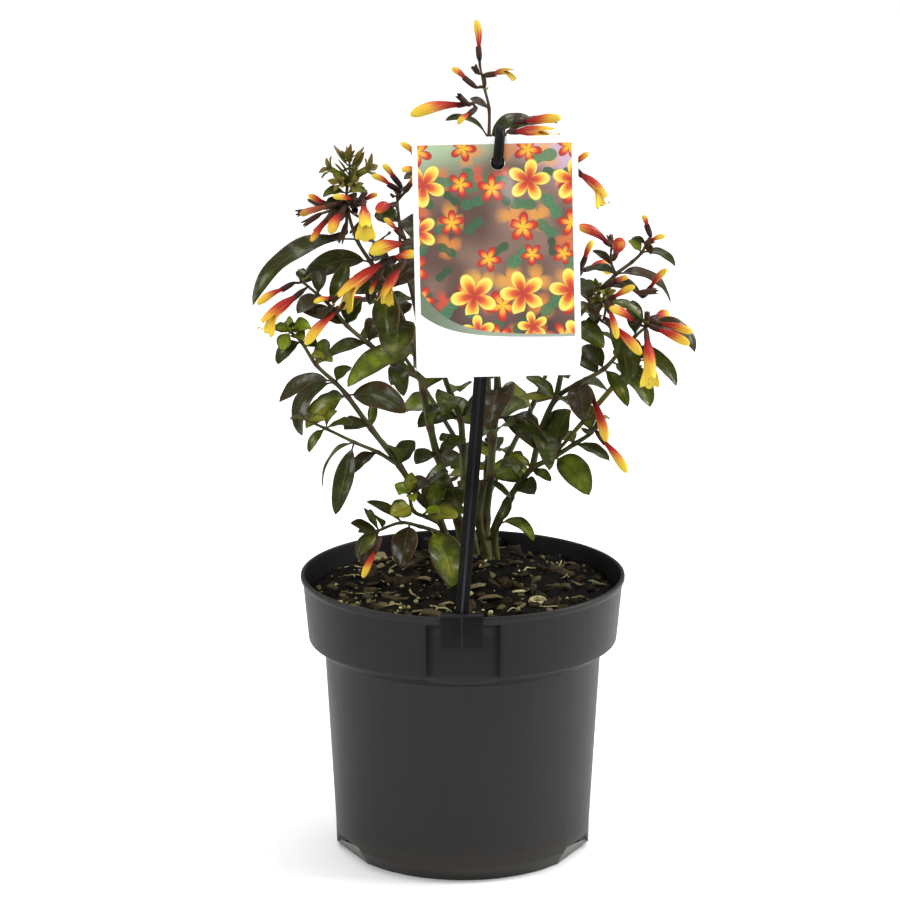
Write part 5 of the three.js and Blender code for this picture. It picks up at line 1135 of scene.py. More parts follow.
def cornerTree(node):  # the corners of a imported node, in millimetres, to look places up in
    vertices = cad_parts[node].data.vertices
    tree = KDTree(len(vertices))
    for i, vertex in enumerate(vertices):
        tree.insert(vertex.co / mm, i)
    tree.balance()
    return tree


cornerTrees = {}


def firstMove(node, tips):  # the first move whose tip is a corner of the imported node
    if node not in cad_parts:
        return None
    if node not in cornerTrees:
        cornerTrees[node] = cornerTree(node)
    found = [i for i, tip in enumerate(tips) if cornerTrees[node].find(tip)[2] < cornerMiss]
    return found[0] if found else None


def spineAt(leaf, t):
    # The spine arches evenly through the sag: its place at share t, and its across and face directions.
    bend, rise = np.radians(leaf["sag"] or 1), np.radians(leaf["rise"])
    out = leaf["length"] / bend * (np.sin(rise) - np.sin(rise - bend * t))
    up = leaf["length"] / bend * (np.cos(rise - bend * t) - np.cos(rise))
    compass, roll = np.radians(leaf["compass"]), np.radians(leaf["roll"])
    centre = leaf["root"] + np.stack([out * np.cos(compass), out * np.sin(compass), up], -1)
    along = heading(leaf["compass"], leaf["rise"] - leaf["sag"] * t)
    across = np.broadcast_to(heading(leaf["compass"] + 90, 0), along.shape)
    face = np.cross(along, across)
    return centre, across * np.cos(roll) + face * np.sin(roll), face * np.cos(roll) - across * np.sin(roll)


def rootOf(shoot, place):  # the point of a shoot's line at that place, or a little below its tip
    return curveAt(shoot["knots"], np.array([min(place, len(shoot["knots"]) - 1 - tipInset)]))[0]


def leafOf(shoot, place, compass, rise, sag, length, width=None):
    # A leaf of a row, turned, lifted and shortened by the move that its tip is found on the frame with.
    width = width or pairWidth * length
    last = len(shoot["knots"]) - 1
    roll = 38 * math.cos(math.radians(compass)) + 40 * (scatter(place * 7 + compass + length) - 0.5)
    leaf = dict(root=rootOf(shoot, place), compass=compass, rise=rise, sag=sag, length=length, width=width,
                roll=roll, seed=place * 3.1 + compass * 0.7 + length, nearTip=place > last - 1.2 and last > 3)
    turn, lift, size = moves.T
    tips = spineAt(leaf | dict(compass=compass + turn, rise=rise + lift, length=length * size), 1.0)[0]
    taken = firstMove(shoot["node"], tips)
    leaf["matched"] = taken is not None
    turn, lift, size = moves[taken or 0]
    leaf.update(compass=compass + turn, rise=rise + lift, length=length * size, width=width * size)
    return leaf


bloomSlim = dict(bud=0.145, fat=0.21, open=0.15, wilted=0.12, small=0.17, calyx=0.2)


def bloomOf(shoot, number, place, stalkCompass, stalkRise, reach, compass, rise, length, kind):
    # A bloom of a row, moved in the same way. One with a node of its own that the frame lacks is left out.
    root = rootOf(shoot, place)
    turn, lift, size = moves.T
    bases = root + heading(stalkCompass + turn, stalkRise + lift) * reach
    lengths = length * size
    along, across, upward = squareWays(compass + turn, rise + lift)
    fused = kind in ("small", "calyx")
    node = shoot["node"] if fused else f"bloom_{shoot['name']}_{number}"
    tips = bases + along * lengths[:, None]
    if kind == "open":
        radii = np.clip(lengths * bloomSlim[kind], 1.3, 3.3) * 0.75
        around = math.radians(rimTurn)
        tips = tips + (across * math.cos(around) + upward * math.sin(around)) * radii[:, None]
    taken = firstMove(node, tips)
    if taken is None and not fused:
        return None
    bloom = dict(root=root, reach=reach, kind=kind, node=node, fused=fused,
                 seed=place * 5.3 + compass + length, matched=taken is not None)
    turn, lift, size = moves[taken or 0]
    bloom.update(stalkCompass=stalkCompass + turn, stalkRise=stalkRise + lift, compass=compass + turn,
                 rise=rise + lift, length=length * size)
    bloom["base"] = root + heading(bloom["stalkCompass"], bloom["stalkRise"]) * reach
    bloom["radius"] = min(max(bloom["length"] * bloomSlim[kind], 1.3), 3.3)
    return bloom


def emptyCup(shoot, place, base, compass, rise, length, young):  # a calyx with no bloom in it
    root = rootOf(shoot, place)
    way = base - root
    reach = float(np.linalg.norm(way))
    return dict(root=root, base=base, reach=reach, kind="calyx", node=shoot["node"], fused=True, young=young,
                seed=base[0] + base[2], compass=compass, rise=rise, length=length,
                stalkCompass=math.degrees(math.atan2(way[1], way[0])),
                stalkRise=math.degrees(math.asin(way[2] / reach)))


def sepalsOf(base, compass, rise, length, lean, pale):  # five small leaves that lean out round an open cup
    axis, sideways, upward = squareWays(compass, rise)
    seed = base[0] + base[2]
    sepals = []
    for number in range(5):
        turn = 2 * math.pi * number / 5 + scatter(seed) * 6 + 0.3 * (scatter(seed + number) - 0.5)
        out = sideways * math.cos(turn) + upward * math.sin(turn)
        tilt = math.radians(lean * (0.75 + 0.5 * scatter(seed + number + 9)))
        way = axis * math.cos(tilt) + out * math.sin(tilt)
        inner = axis * math.sin(tilt) - out * math.cos(tilt)
        toward = math.degrees(math.atan2(way[1], way[0]))
        across = heading(toward + 90, 0)
        roll = math.degrees(math.atan2(-(inner @ across), inner @ np.cross(way, across)))
        size = length * (0.85 + 0.3 * scatter(seed + number + 5))
        sepals.append(dict(root=base + out * 0.5, compass=toward, rise=math.degrees(math.asin(way[2])), sag=1,
                           length=size, width=size * 0.52, roll=roll, seed=seed + number * 1.7, nearTip=False,
                           widen=0.9, fullness=1.0, tint=pale, sepal=1.0))
    return sepals


shoots = []
for name, node, footRadius, tipRadius, knots, leafRows, pairRows, bloomRows in shootRows:
    shoot = dict(name=name, node=node, footRadius=footRadius, tipRadius=tipRadius,
                 knots=np.array(knots, float), rooted=name in rootedShoots)
    shoot["leaves"] = [leafOf(shoot, *row) for row in leafRows]
    for place, compass, rise, sag, length, opposite in pairRows:
        if length:
            shoot["leaves"].append(leafOf(shoot, place, compass, rise, sag, length))
        if opposite:
            shoot["leaves"].append(leafOf(shoot, place, compass + 180, rise, sag, opposite))
    blooms = [bloomOf(shoot, i + 1, *row) for i, row in enumerate(bloomRows)]
    shoot["blooms"] = [bloom for bloom in blooms if bloom]
    shoots.append(shoot)
grown = [thing for shoot in shoots for thing in shoot["leaves"] + shoot["blooms"]]
print(f"{len(grown)} leaves and blooms, {sum(thing['matched'] for thing in grown)} found on the frame")
for shoot in shoots:
    for (name, index), (tint, widen) in leafNotes.items():
        if name == shoot["name"]:
            shoot["leaves"][index].update(tint=tint, widen=widen)
    for (name, index), redder in bloomNotes.items():
        if name == shoot["name"]:
            shoot["blooms"][index]["redder"] = redder
    for (name, index), change in bloomChanges.items():
        if name == shoot["name"]:
            bloom = shoot["blooms"][index]
            bloom.update({key: change[key] for key in ("kind", "age") if key in change})
            bloom["length"] *= change["longer"]
            bloom["radius"] *= change["wider"]
            bloom["rise"] += change.get("lift", 0)
    if shoot["name"] == "leftSpray":
        for leaf in shoot["leaves"]:
            leaf.update(tint=0.10, widen=0.60, fullness=0.9, sepal=1.0)
    for *row, roll, tint in addedLeaves.get(shoot["name"], []):
        shoot["leaves"].append(leafOf(shoot, *row) | dict(roll=roll, tint=tint, fullness=0.92, widen=0.90))
    for place, *mouth, compass, rise, length in spentCups.get(shoot["name"], []):
        shoot["blooms"].append(emptyCup(shoot, place, np.array(mouth), compass, rise, length, False))
    for place, *mouth, compass, rise, length, lean, pale in openCups.get(shoot["name"], []):
        shoot["blooms"].append(emptyCup(shoot, place, np.array(mouth), compass, rise, 1.0, True))
        shoot["leaves"] += sepalsOf(np.array(mouth), compass, rise, length, lean, pale)


# Shoots and calyces

shootStyle = dict(slim=0.90, slimTop=0.24, squareness=0.07, jointSwell=0.24, jointReach=0.13, perKnot=7,
                  sides=12, stalkRadius=0.52, calyxFoot=0.70, calyxWide=1.28, calyxOver=2.6, teeth=5,
                  calyxSides=20)


def makeShootFinish():
    # Olive stems, browner upwards and at the joints. Calyces and flower stalks are dark purple brown, and the
    # young ones green with rusty tips.
    f = Finish("shootSkin", IOR=1.42, Specular_IOR_Level=0.18)
    joint, calyx, young, along = f.value("joint"), f.value("calyx"), f.value("young"), f.value("along")
    place = f.place()
    cloud, fine = f.noise(place, 70, 3), f.noise(place, 900, 3, 0.6)
    stem = f.mix(f.ease(cloud, 0.35, 0.7), tone(0.036, 0.042, 0.012), tone(0.078, 0.082, 0.024))
    stem = f.mix(f.ease(fine, 0.5, 0.75) * 0.5, stem, tone(0.050, 0.030, 0.014))
    stem = f.mix(f.ease(along, 0.25, 0.85, 0.0, 0.85), stem, tone(0.085, 0.048, 0.030))
    stem = f.mix(joint * 0.85, stem, tone(0.040, 0.018, 0.012))
    husk = f.mix(f.ease(cloud, 0.3, 0.7), tone(0.022, 0.009, 0.007), tone(0.075, 0.034, 0.020))
    husk = f.mix(f.ease(fine, 0.55, 0.75) * 0.5, husk, tone(0.075, 0.062, 0.018))
    sepal = f.mix(f.ease(fine, 0.40, 0.70), tone(0.21, 0.18, 0.025), tone(0.10, 0.12, 0.018))
    sepal = f.mix(f.ease(along, 0.45, 1.0), sepal, tone(0.20, 0.065, 0.018))
    husk = f.mix(young, husk, sepal)
    f.paint(Base_Color=f.mix(calyx, stem, husk), Roughness=0.42 + 0.2 * fine,
            Normal=f.bump(fine, 0.0001, 0.5))
    return f


def growStem(heap, shoot, style):
    # A rounded square carried along the shoot's line, tapering, and swollen at each joint of leaves.
    s, last = style, len(shoot["knots"]) - 1
    places = np.linspace(0, last, last * s["perKnot"] + 1)
    line = curveAt(shoot["knots"], places)
    radius = shoot["footRadius"] + (shoot["tipRadius"] - shoot["footRadius"]) * places / last
    radius = radius * (s["slim"] - s["slimTop"] * ease(150, 330, line[:, 2]))
    joint = np.exp(-((places - np.round(places)) / s["jointReach"]) ** 2) * (places > 0.5)
    radius = radius * (1 + s["jointSwell"] * joint)
    if shoot["rooted"]:
        line = np.vstack([line[0] - [0, 0, 12], line[0] - [0, 0, 5], line])
        radius = np.concatenate([radius[:1], radius[:1], radius])
        joint = np.concatenate([[0, 0], joint])
    along, across, up = framed(line, [0, 1.0, 0])
    a = np.arange(s["sides"]) / s["sides"] * 2 * math.pi
    ring = 0.94 + s["squareness"] * np.cos(4 * a)
    rings = (line[:, None] + across[:, None] * (radius[:, None] * ring * np.cos(a))[..., None]
             + up[:, None] * (radius[:, None] * ring * np.sin(a))[..., None])
    share = np.clip((line[:, 2] - 120) / 230, 0, 1)[:, None]
    isStump = shoot["name"] == "stump"
    end = line[-1] + along[-1] * (0.1 if isStump else 2.2 * shoot["tipRadius"])
    heap.tube(rings, line[0], end, joint=joint[:, None], along=share)


def growStalk(heap, bloom, style):
    # A round stalk that bows from the shoot to the foot of the bloom, and the calyx that it swells into. Five
    # narrow teeth reach on over the bloom, and those of a spent calyx lean out or in.
    s, seed = style, bloom["seed"]
    axis, sideways, upward = squareWays(bloom["compass"], bloom["rise"])
    foot = bloom["root"] - heading(bloom["stalkCompass"], bloom["stalkRise"]) * 0.5
    calyxFoot = bloom["base"] - axis * min(calyxLength, 0.6 * bloom["reach"])
    t = np.linspace(0, 1, 7)[:, None]
    bow = foot + heading(bloom["stalkCompass"], bloom["stalkRise"]) * np.linalg.norm(calyxFoot - foot) * 0.5
    line = foot * (1 - t) ** 2 + 2 * bow * t * (1 - t) + calyxFoot * t ** 2
    rings = roundRings(line, [0, 1.0, 0], s["stalkRadius"] * (1 + 0.25 * t[:, 0]), 8)
    young = 1.0 if bloom.get("young") else 0.0
    heap.tube(rings, line[0], line[-1], calyx=0.75, young=0.6 * young, along=0.4)

    sides = s["calyxSides"]
    a = np.arange(sides) / sides * 2 * math.pi + seed
    spent = bloom["kind"] == "calyx"
    cup = np.linalg.norm(bloom["base"] - calyxFoot)
    over = bloom["length"] * 0.55 if spent else min(s["calyxOver"], 0.30 * bloom["length"])
    spread = 0.6 * scatter(seed) - 0.25 if spent else -0.12
    tooth = np.abs(np.cos(a * s["teeth"] / 2)) ** (0.8 if spent else 1.2)
    # up the outside and down the inside: share of the cup, radius, share of a tooth, and share of its spread
    brim = s["calyxWide"]
    steps = [(0.0, s["calyxFoot"], 0, 0), (0.35, 1.15, 0, 0), (0.75, brim, 0, 0), (1.0, brim, 0, 0),
             (1.0, brim, 0.4, 0.3), (1.0, brim, 0.75, 0.7), (1.0, brim, 1.0, 1.0),
             (1.0, brim - 0.3, 0.97, 1.0), (1.0, brim - 0.35, 0.6, 0.6),
             (1.0, brim - 0.45, 0.1, 0.0), (0.8, brim - 0.7, 0.0, 0.0)]
    rings, upTooth = [], []
    for share, wide, overShare, spreadShare in steps:
        reachAlong = cup * share + over * overShare * (1 - (1 - tooth) * (0.55 if spent else 0.8))
        wideNow = wide + spread * spreadShare * tooth
        upTooth.append(overShare * tooth)
        rings.append(calyxFoot + axis * (reachAlong * np.ones(sides))[:, None]
                     + (sideways * np.cos(a)[:, None] + upward * np.sin(a)[:, None]) * wideNow[:, None])
    heap.tube(np.array(rings), calyxFoot, calyxFoot + axis * cup * 0.7, calyx=1.0, young=young,
              along=np.array(upTooth))


# Leaves

leafStyle = dict(petioleShare=0.12, petioleHalf=0.45, widestEarly=0.88, fullness=0.66, fold=21, widen=1.12,
                 pairWiden=1.20, edgeThick=0.10, ribThick=0.34, ripple=0.085, side=0.08,
                 smallLength=13, smallFullness=0.82, smallFold=1.7)


def makeLeafFinish():
    # A glossy blade: purple brown to green to yellow green by its tint, clouded and browner at its sides,
    # with a paler rib, side veins that run forwards from it, a thin rusty or pale edge, and a matt back. A
    # sepal is dull green with a rusty tip, and paler by its tint.
    f = Finish("leafBlade", IOR=1.45, Specular_IOR_Level=0.11, Coat_Roughness=0.20)
    across, along, tint = f.value("across"), f.value("along"), f.value("tint")
    back, seed, sepal = f.value("back"), f.value("seed"), f.value("sepal")
    place = f.place()
    off = f.maths("ABSOLUTE", across)
    cloud, fine, patch = f.noise(place, 60, 3, 0.6), f.noise(place, 420, 3, 0.6), f.noise(place, 170, 2)
    browning = (0.13 + 0.22 * f.ease(tint, 0.6, 0.9)) * off * off
    hue = tint + 0.85 * (cloud - 0.5) + 0.55 * (patch - 0.5) - browning + 0.04
    colour = f.ramp(hue, (0.0, tone(0.034, 0.014, 0.004)), (0.16, tone(0.025, 0.017, 0.004)),
                    (0.36, tone(0.019, 0.026, 0.003)), (0.58, tone(0.044, 0.058, 0.003)),
                    (0.76, tone(0.095, 0.123, 0.008)), (1.0, tone(0.185, 0.265, 0.010)))
    yellowing = f.ease(hue, 0.68, 0.88) * f.ease(seed, 0.25, 0.9, 0.0, 0.8)
    colour = f.mix(yellowing, colour, tone(0.235, 0.205, 0.022))
    rim = f.ease(off + 0.7 * (patch - 0.5), 0.50, 1.0, 0.0, 0.55) * (1 - 0.55 * f.ease(tint, 0.85, 1.0))
    colour = f.mix(rim, colour, tone(0.034, 0.016, 0.006))
    rib = f.ease(off, 0.02, 0.10, 1.0, 0.0)
    ladder = f.maths("FRACT", along * 7.5 - off * 1.9 + seed)
    vein = f.ease(f.maths("ABSOLUTE", ladder - 0.5), 0.02, 0.13, 1.0, 0.0) * f.ease(off, 0.92, 0.7)
    colour = f.mix(rib * 0.34 + vein * 0.15, colour, f.mix(0.5, colour, tone(0.20, 0.21, 0.05)))
    edge = f.mix(f.ease(hue, 0.45, 0.62), tone(0.125, 0.110, 0.040), tone(0.105, 0.048, 0.018))
    colour = f.mix(f.ease(off, 0.86, 1.0) * 0.55, colour, edge)
    colour = f.mix(f.ease(fine, 0.62, 0.8) * 0.25, colour, tone(0.045, 0.030, 0.010))
    under = f.mix(0.40, colour, tone(0.070, 0.072, 0.018))
    cup = f.mix(f.ease(fine, 0.35, 0.65), tone(0.13, 0.12, 0.020), tone(0.085, 0.090, 0.018))
    cup = f.mix(f.ease(along + 0.6 * (fine - 0.5), 0.45, 0.95, 0.0, 0.85), cup, tone(0.23, 0.080, 0.022))
    pale = f.mix(f.ease(along, 0.8, 1.0), tone(0.34, 0.33, 0.060), tone(0.26, 0.15, 0.035))
    cup = f.mix(tint * 0.9, cup, pale)
    f.paint(Base_Color=f.mix(sepal, f.mix(back, colour, under), cup),
            Roughness=0.28 + 0.2 * fine + 0.18 * back,
            Coat_Weight=(0.04 + f.ease(patch, 0.44, 0.64, 0.0, 0.60)) * (1 - back),
            Normal=f.bump((vein * -0.5 - rib + fine * 0.25) * (1 - 1.8 * back), 0.00036, 0.85))
    return f


def growLeaf(heap, leaf, tint, style):
    # Round each section the blade goes out to half its width and back underneath. Half the width is nothing
    # along the stalk and then a pointed oval; both halves are raised to the edge, which ripples.
    s, seed = style, leaf["seed"]
    long = leaf["length"]
    rows, sides = (9, 10) if long < 11 else (13, 12) if long < 22 else (19, 14)
    t = np.linspace(0, 1, rows + 1)[:-1, None]
    a = (np.arange(sides) / sides * 2 * math.pi)[None]
    centre, acrossWay, faceWay = spineAt(leaf, t[:, 0])
    share = np.clip((t - s["petioleShare"]) / (1 - s["petioleShare"]), 0, 1)
    small = long < s["smallLength"]
    fullness = leaf.get("fullness", s["smallFullness"] if small else s["fullness"])
    oval = np.maximum(np.sin(math.pi * share ** s["widestEarly"]), 0) ** fullness
    stalk = s["petioleHalf"] * (1 - 0.75 * t) * min(1.0, 0.55 + long / 40)
    wide = np.hypot(leaf["width"] / 2 * leaf["widen"] * oval, stalk)
    out = np.cos(a)
    blade = ease(1.2, 3.2, wide / stalk)
    fold = math.sin(math.radians(s["fold"] * (s["smallFold"] if small else 1)))
    cup = (np.sqrt(out ** 2 + 0.012) - 0.11) * (1.35 - 0.35 * out ** 2) * fold * blade
    waves = t * (1.6 + 1.4 * scatter(seed)) + scatter(seed + 2)
    wave = s["ripple"] * np.sin(2 * math.pi * waves + 1.1 * np.sign(out))
    bend = s["side"] * long * (scatter(seed + 5) - 0.5) * np.sin(math.pi * t)
    x = wide * out * (1 - 0.05 * blade)
    rib = s["ribThick"] * (1 - 0.6 * t) * np.exp(-(x / 0.5) ** 2)
    thickTop = stalk * (1 - blade) + s["edgeThick"] * blade
    thickBack = stalk * (1 - blade) + (s["edgeThick"] + rib) * blade
    thick = np.where(np.sin(a) > 0, thickTop, thickBack) * np.sin(a)
    z = wide * cup + wide * wave * out ** 2 * blade + thick
    rings = (centre[:, None] + acrossWay[:, None] * (x + bend)[..., None] + faceWay[:, None] * z[..., None])
    root = spineAt(leaf, np.array([-0.5 / long]))[0][0]
    tip = spineAt(leaf, np.array([1.0]))[0][0]
    heap.tube(rings, root, tip, across=out, along=t, back=np.where(np.sin(a) < -0.01, 1.0, 0.0),
              tint=tint, seed=scatter(seed + 9), sepal=leaf.get("sepal", 0.0))


# Blooms

bloomStyle = dict(sides=18, openSides=36, bow=0.05, skin=0.24, lipFlare=1.15, lipDrop=0.12, filament=0.13,
                  anther=0.34, slim=dict(bud=0.75, small=0.84, fat=0.90, wilted=0.72, open=0.83))


def makeBloomFinish():
    # Crimson at the foot, through scarlet and orange, to yellow at the tip, in fine streaks along the tube,
    # with a pale pink painted highlight on its middle. A withered bloom is browner, filaments are cream
    # and anthers ochre.
    f = Finish("petalSkin", IOR=1.38, Specular_IOR_Level=0.20, Subsurface_Weight=0.05,
               Subsurface_Radius=(0.9, 0.35, 0.12), Subsurface_Scale=0.001)
    along, around, shift, part = f.value("along"), f.value("around"), f.value("shift"), f.value("part")
    age = f.value("age")
    turned = around * (2 * math.pi)
    upside = f.maths("SINE", turned)
    lanes = f.node("CombineXYZ", {}, {0: f.maths("COSINE", turned) * 2.6, 1: upside * 2.6,
                                      2: along * 1.1 + shift * 9})
    streak = f.noise(lanes, 2.2, 3, 0.6)
    step = along + shift * 0.26 + (streak - 0.5) * 0.46 - upside * 0.10
    colour = f.ramp(step, (0.0, tone(0.14, 0.007, 0.008)), (0.20, tone(0.28, 0.012, 0.009)),
                    (0.43, tone(0.37, 0.029, 0.013)), (0.57, tone(0.51, 0.14, 0.028)),
                    (0.69, tone(0.62, 0.34, 0.034)), (1.0, tone(0.68, 0.52, 0.047)))
    # painted highlight: a pale pink sheen on the middle of the tube
    paintedSheen = f.ease(f.noise(lanes, 0.9, 1), 0.55, 0.8) * f.ease(along, 0.25, 0.45) * f.ease(along, 0.75, 0.5)
    colour = f.mix(paintedSheen * 0.65, colour, tone(0.78, 0.38, 0.22))
    colour = f.mix(age * f.ease(streak, 0.3, 0.7, 0.35, 0.85), colour, tone(0.20, 0.075, 0.030))
    thread = f.mix(f.ease(part, 1.4, 1.6), tone(0.66, 0.52, 0.28), tone(0.50, 0.30, 0.040))
    colour = f.mix(f.ease(part, 0.4, 0.6), colour, thread)
    ribs = f.maths("SINE", around * 113.0)
    f.paint(Base_Color=colour, Roughness=0.38 + 0.2 * streak,
            Normal=f.bump(ribs * 0.4 + streak, 0.00012, 0.5))
    return f


def growBloom(heap, bloom, style):
    # Rings about an axis that bows a little. A bud swells from its foot to a blunt end. An open bloom has its
    # rim at a length, and a flare, that depend on the angle: a hooded upper lip, slit sides and a lower lip
    # in three lobes; from the rim the skin turns in and runs back down the inside.
    s, kind, seed = style, bloom["kind"], bloom["seed"]
    axis, sideways, upward = squareWays(bloom["compass"], bloom["rise"])
    foot, long = bloom["base"] + axis * bloomGap, bloom["length"] - bloomGap
    wide = bloom["radius"] * s["slim"][kind]
    sides = s["openSides"] if kind == "open" else s["sides"]
    a = (np.arange(sides) / sides * 2 * math.pi)[None]
    if kind == "open":
        q = np.array([0, 0.06, 0.16, 0.3, 0.45, 0.58, 0.68, 0.77, 0.85, 0.92, 0.97, 1.0])[:, None]
        upper, lower = ease(0.0, 0.62, np.sin(a)), ease(0.12, 0.62, -np.sin(a))
        fromMiddle = np.degrees(np.arccos(np.clip(-np.sin(a), -1, 1)))
        lobes = np.sqrt(np.abs(np.cos(np.radians(fromMiddle * 3.8))))
        notch = np.exp(-((np.degrees(np.arccos(np.clip(np.sin(a), -1, 1)))) / 13) ** 2)
        rim = 0.66 + upper * (0.34 - 0.05 * notch) + lower * (0.23 + 0.08 * lobes)
        t = q * rim
        flare = ease(0.55, 1.0, t)
        swell = (0.46 + 0.50 * ease(0, 0.42, t)) * (1 - 0.22 * upper * ease(0.72, 1, t))
        swell = swell + lower * s["lipFlare"] * flare ** 1.4 + (1 - upper - lower) * 0.12 * flare
        drop = -lower * s["lipDrop"] * long * flare ** 2
        outer = swell * wide
        inner = np.maximum(outer - s["skin"], 0.2)
        keep = np.arange(len(q))[::-1][1:-2]
        radius = np.vstack([outer, inner[keep]])
        t = np.vstack([t, t[keep]])
        t[len(q):] -= 0.004
        drop = np.vstack([drop, drop[keep]])
    else:
        t = np.concatenate([np.linspace(0, 0.7, 8), [0.78, 0.85, 0.91, 0.955, 0.985]])[:, None]
        blunt, narrow = dict(bud=(0.70, 0.42), small=(0.72, 0.5), fat=(0.66, 0.38), wilted=(0.86, 0.5))[kind]
        swell = narrow + (1 - narrow) * ease(0, 0.66, t)
        cap = np.sqrt(np.clip(1 - (np.clip((t - blunt) / (1 - blunt), 0, 1)) ** 2.0, 0, 1))
        groove = np.exp(-(np.sin(a / 2 - 0.3) / 0.16) ** 2)
        crease = 1 - 0.05 * np.cos(2 * a) - 0.06 * groove * ease(0.1, 0.6, t)
        if kind == "wilted":
            crease = crease * (1 + 0.14 * np.sin(5 * a + 7 * t))
        radius = swell * cap * crease * wide
        drop = 0 * radius
    t = t * np.ones_like(a)
    bow = s["bow"] * long * (0.4 + scatter(seed + 3)) * np.sin(math.pi * np.clip(t, 0, 1))
    rings = (foot + axis * (long * t)[..., None] + sideways * (radius * np.cos(a))[..., None]
             + upward * (radius * np.sin(a) + drop + bow)[..., None])
    shift = scatter(seed + 1) - 0.5 - bloom.get("redder", 0) / 0.26
    last = foot + axis * (long if kind != "open" else long * 0.12)
    heap.tube(rings, foot, last, along=t, around=a / (2 * math.pi), shift=shift, part=0.0,
              age=bloom.get("age", 1.0 if kind == "wilted" else 0.0))
    if kind != "open" or bloom.get("age"):
        return
    for hand in (-1, 1):  # two stamens and their anthers
        u = np.linspace(0, 1, 7)[:, None]
        lean = sideways * hand * (0.35 + 0.5 * scatter(seed + hand))
        lean = lean - upward * (0.1 + 0.8 * scatter(seed + 4))
        line = foot + axis * long * (0.45 + 0.62 * u) + upward * wide * 0.35 + lean * wide * u ** 1.5
        heap.tube(roundRings(line, [0, 1.0, 0.1], s["filament"], 5), line[0], line[-1], part=1.0)
        way = unit(line[-1] - line[-2])
        tips = line[-1] + way * np.linspace(-0.5, 0.9, 5)[:, None]
        rings = roundRings(tips, [0, 1.0, 0.1], s["anther"] * np.array([0.5, 0.95, 1.0, 0.8, 0.4]), 7)
        heap.tube(rings, tips[0], tips[-1] + way * 0.15, part=2.0)


# The whole plant

# how green a shoot's leaves are, from 0 for purple brown to 1 for yellow green, where height doesn't tell it
shootTints = dict(rosette=0.93, crownTwig=0.66, overSoil=0.40, lowLeftTwig=0.47)


def leafTint(shoot, leaf):  # browner higher up, with some yellow green near the tips
    if "tint" in leaf:
        return leaf["tint"]
    height = leaf["root"][2]
    base = shootTints.get(shoot["name"], 0.56 - 0.26 * float(ease(170, 270, height)))
    if leaf["nearTip"] and leaf["length"] < 12.5:
        base = 0.78 if scatter(leaf["seed"] + 21) > 0.35 else base
    return base + 0.46 * (scatter(leaf["seed"] + 17) - 0.5)


shootFinish, leafFinish, bloomFinish = makeShootFinish(), makeLeafFinish(), makeBloomFinish()
for node in sorted({shoot["node"] for shoot in shoots}):
    stems, blades, petals = (Heap("joint", "calyx", "young", "along"),
                             Heap("across", "along", "back", "tint", "seed", "sepal"),
                             Heap("along", "around", "shift", "part", "age"))
    family = [shoot for shoot in shoots if shoot["node"] == node]
    for shoot in family:
        growStem(stems, shoot, shootStyle)
        for bloom in shoot["blooms"]:
            growStalk(stems, bloom, shootStyle)
            if bloom["kind"] != "calyx":
                growBloom(petals, bloom, bloomStyle)
        for leaf in shoot["leaves"]:
            paired = abs(leaf["width"] - pairWidth * leaf["length"]) < 1e-6
            usual = leafStyle["pairWiden"] if paired else leafStyle["widen"]
            leaf["widen"] = usual * leaf.get("widen", 1.0)
            growLeaf(blades, leaf, leafTint(shoot, leaf), leafStyle)
    label = node.replace("stem_", "")
    stems.piece("shoots_" + label, shootFinish, "foliage", node)
    blades.piece("leaves_" + label, leafFinish, "foliage")
    petals.piece("blooms_" + label, bloomFinish, "bloom",
                 *[b["node"] for shoot in family for b in shoot["blooms"] if not b["fused"]])

makeSoil(soilStyle, [shoot["knots"][0] for shoot in shoots if shoot["rooted"]])


# Floor, light and camera

studioStyle = dict(floor=tone(0.90, 0.90, 0.90), world=tone(1.0, 1.0, 1.0), worldStrength=0.30)


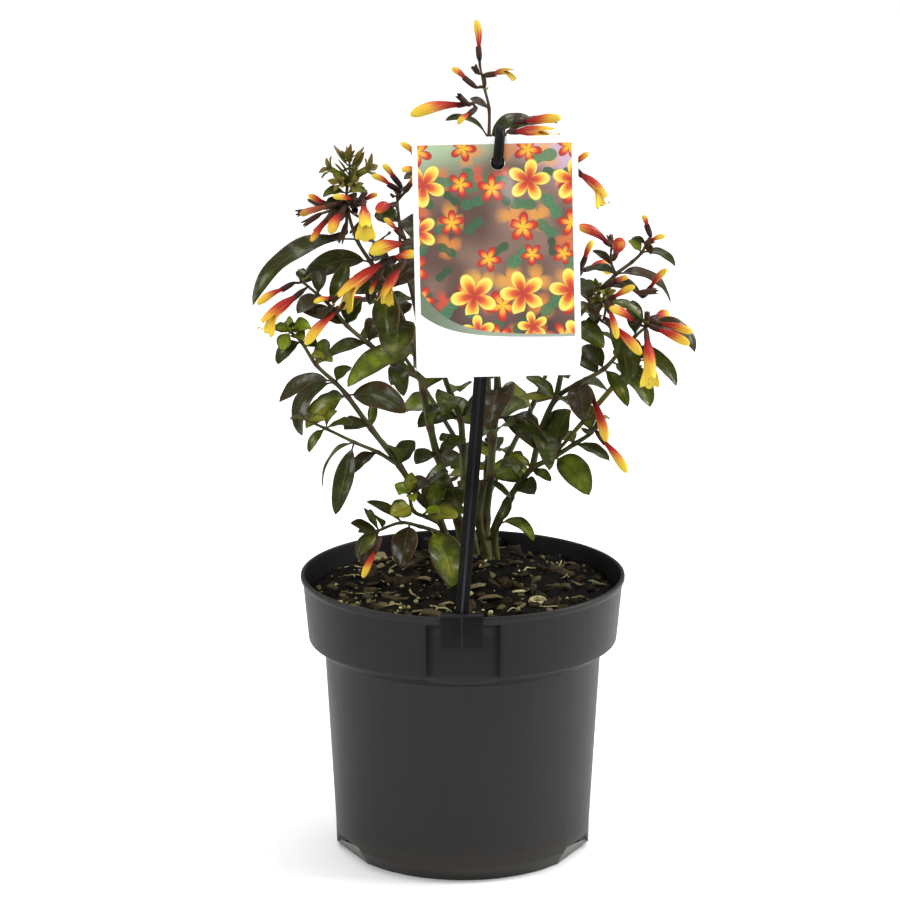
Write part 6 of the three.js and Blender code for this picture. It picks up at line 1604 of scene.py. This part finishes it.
def makeStudio(style):
    f = Finish("paleFloor", Roughness=0.9, Specular_IOR_Level=0.1)
    f.paint(Base_Color=f.mix(f.noise(f.place(), 3, 2), style["floor"], tone(0.92, 0.92, 0.92)))
    edge = np.array([[-6, -4, 0], [6, -4, 0], [6, 9, 0], [-6, 9, 0]], float)
    mesh = bpy.data.meshes.new("floor")
    mesh.from_pydata(edge.tolist(), [], [(0, 1, 2, 3)])
    mesh.materials.append(f.material)
    floor = bpy.data.objects.new("floor", mesh)
    bpy.context.scene.collection.objects.link(floor)
    world = bpy.data.worlds.new("studio")
    bpy.context.scene.world = world
    world.use_nodes = True
    world.node_tree.nodes["Background"].inputs[0].default_value = style["world"]
    world.node_tree.nodes["Background"].inputs[1].default_value = style["worldStrength"]
    # place, aim, size and power of each soft lamp
    for name, place, aim, size, power in (("skyLamp", (0, 0.9, 3.0), (0, 0.9, 0), 4.4, 125),
                                          ("leftLamp", (-1.5, -0.45, 0.9), (0, 0, 0.18), 0.9, 12),
                                          ("rightLamp", (1.4, 0.05, 0.9), (0, 0, 0.18), 0.9, 30),
                                          ("frontLamp", (-0.7, -2.5, 1.7), (0, 0, 0.18), 1.1, 26)):
        lamp = bpy.data.lights.new(name, "AREA")
        lamp.size, lamp.energy = size, power
        holder = bpy.data.objects.new(name, lamp)
        holder.location = place
        direction = np.array(aim) - np.array(place)
        yaw = math.atan2(direction[1], direction[0]) - math.pi / 2
        pitch = math.atan2(direction[2], math.hypot(direction[0], direction[1]))
        holder.rotation_euler = (math.pi / 2 + pitch, 0, yaw)
        bpy.context.scene.collection.objects.link(holder)
    camera = bpy.data.cameras.new("camera")
    camera.lens, camera.sensor_width = 191.8, 36
    camera.clip_end = 60
    eye = bpy.data.objects.new("camera", camera)
    eye.location = (-0.0055, -1.991, 0.693)
    eye.rotation_euler = (math.radians(90 - 14.52), 0, 0)
    bpy.context.scene.collection.objects.link(eye)
    bpy.context.scene.camera = eye
    bpy.context.scene.view_settings.view_transform = "Standard"
    print("floor, light and camera set")


makeStudio(studioStyle)
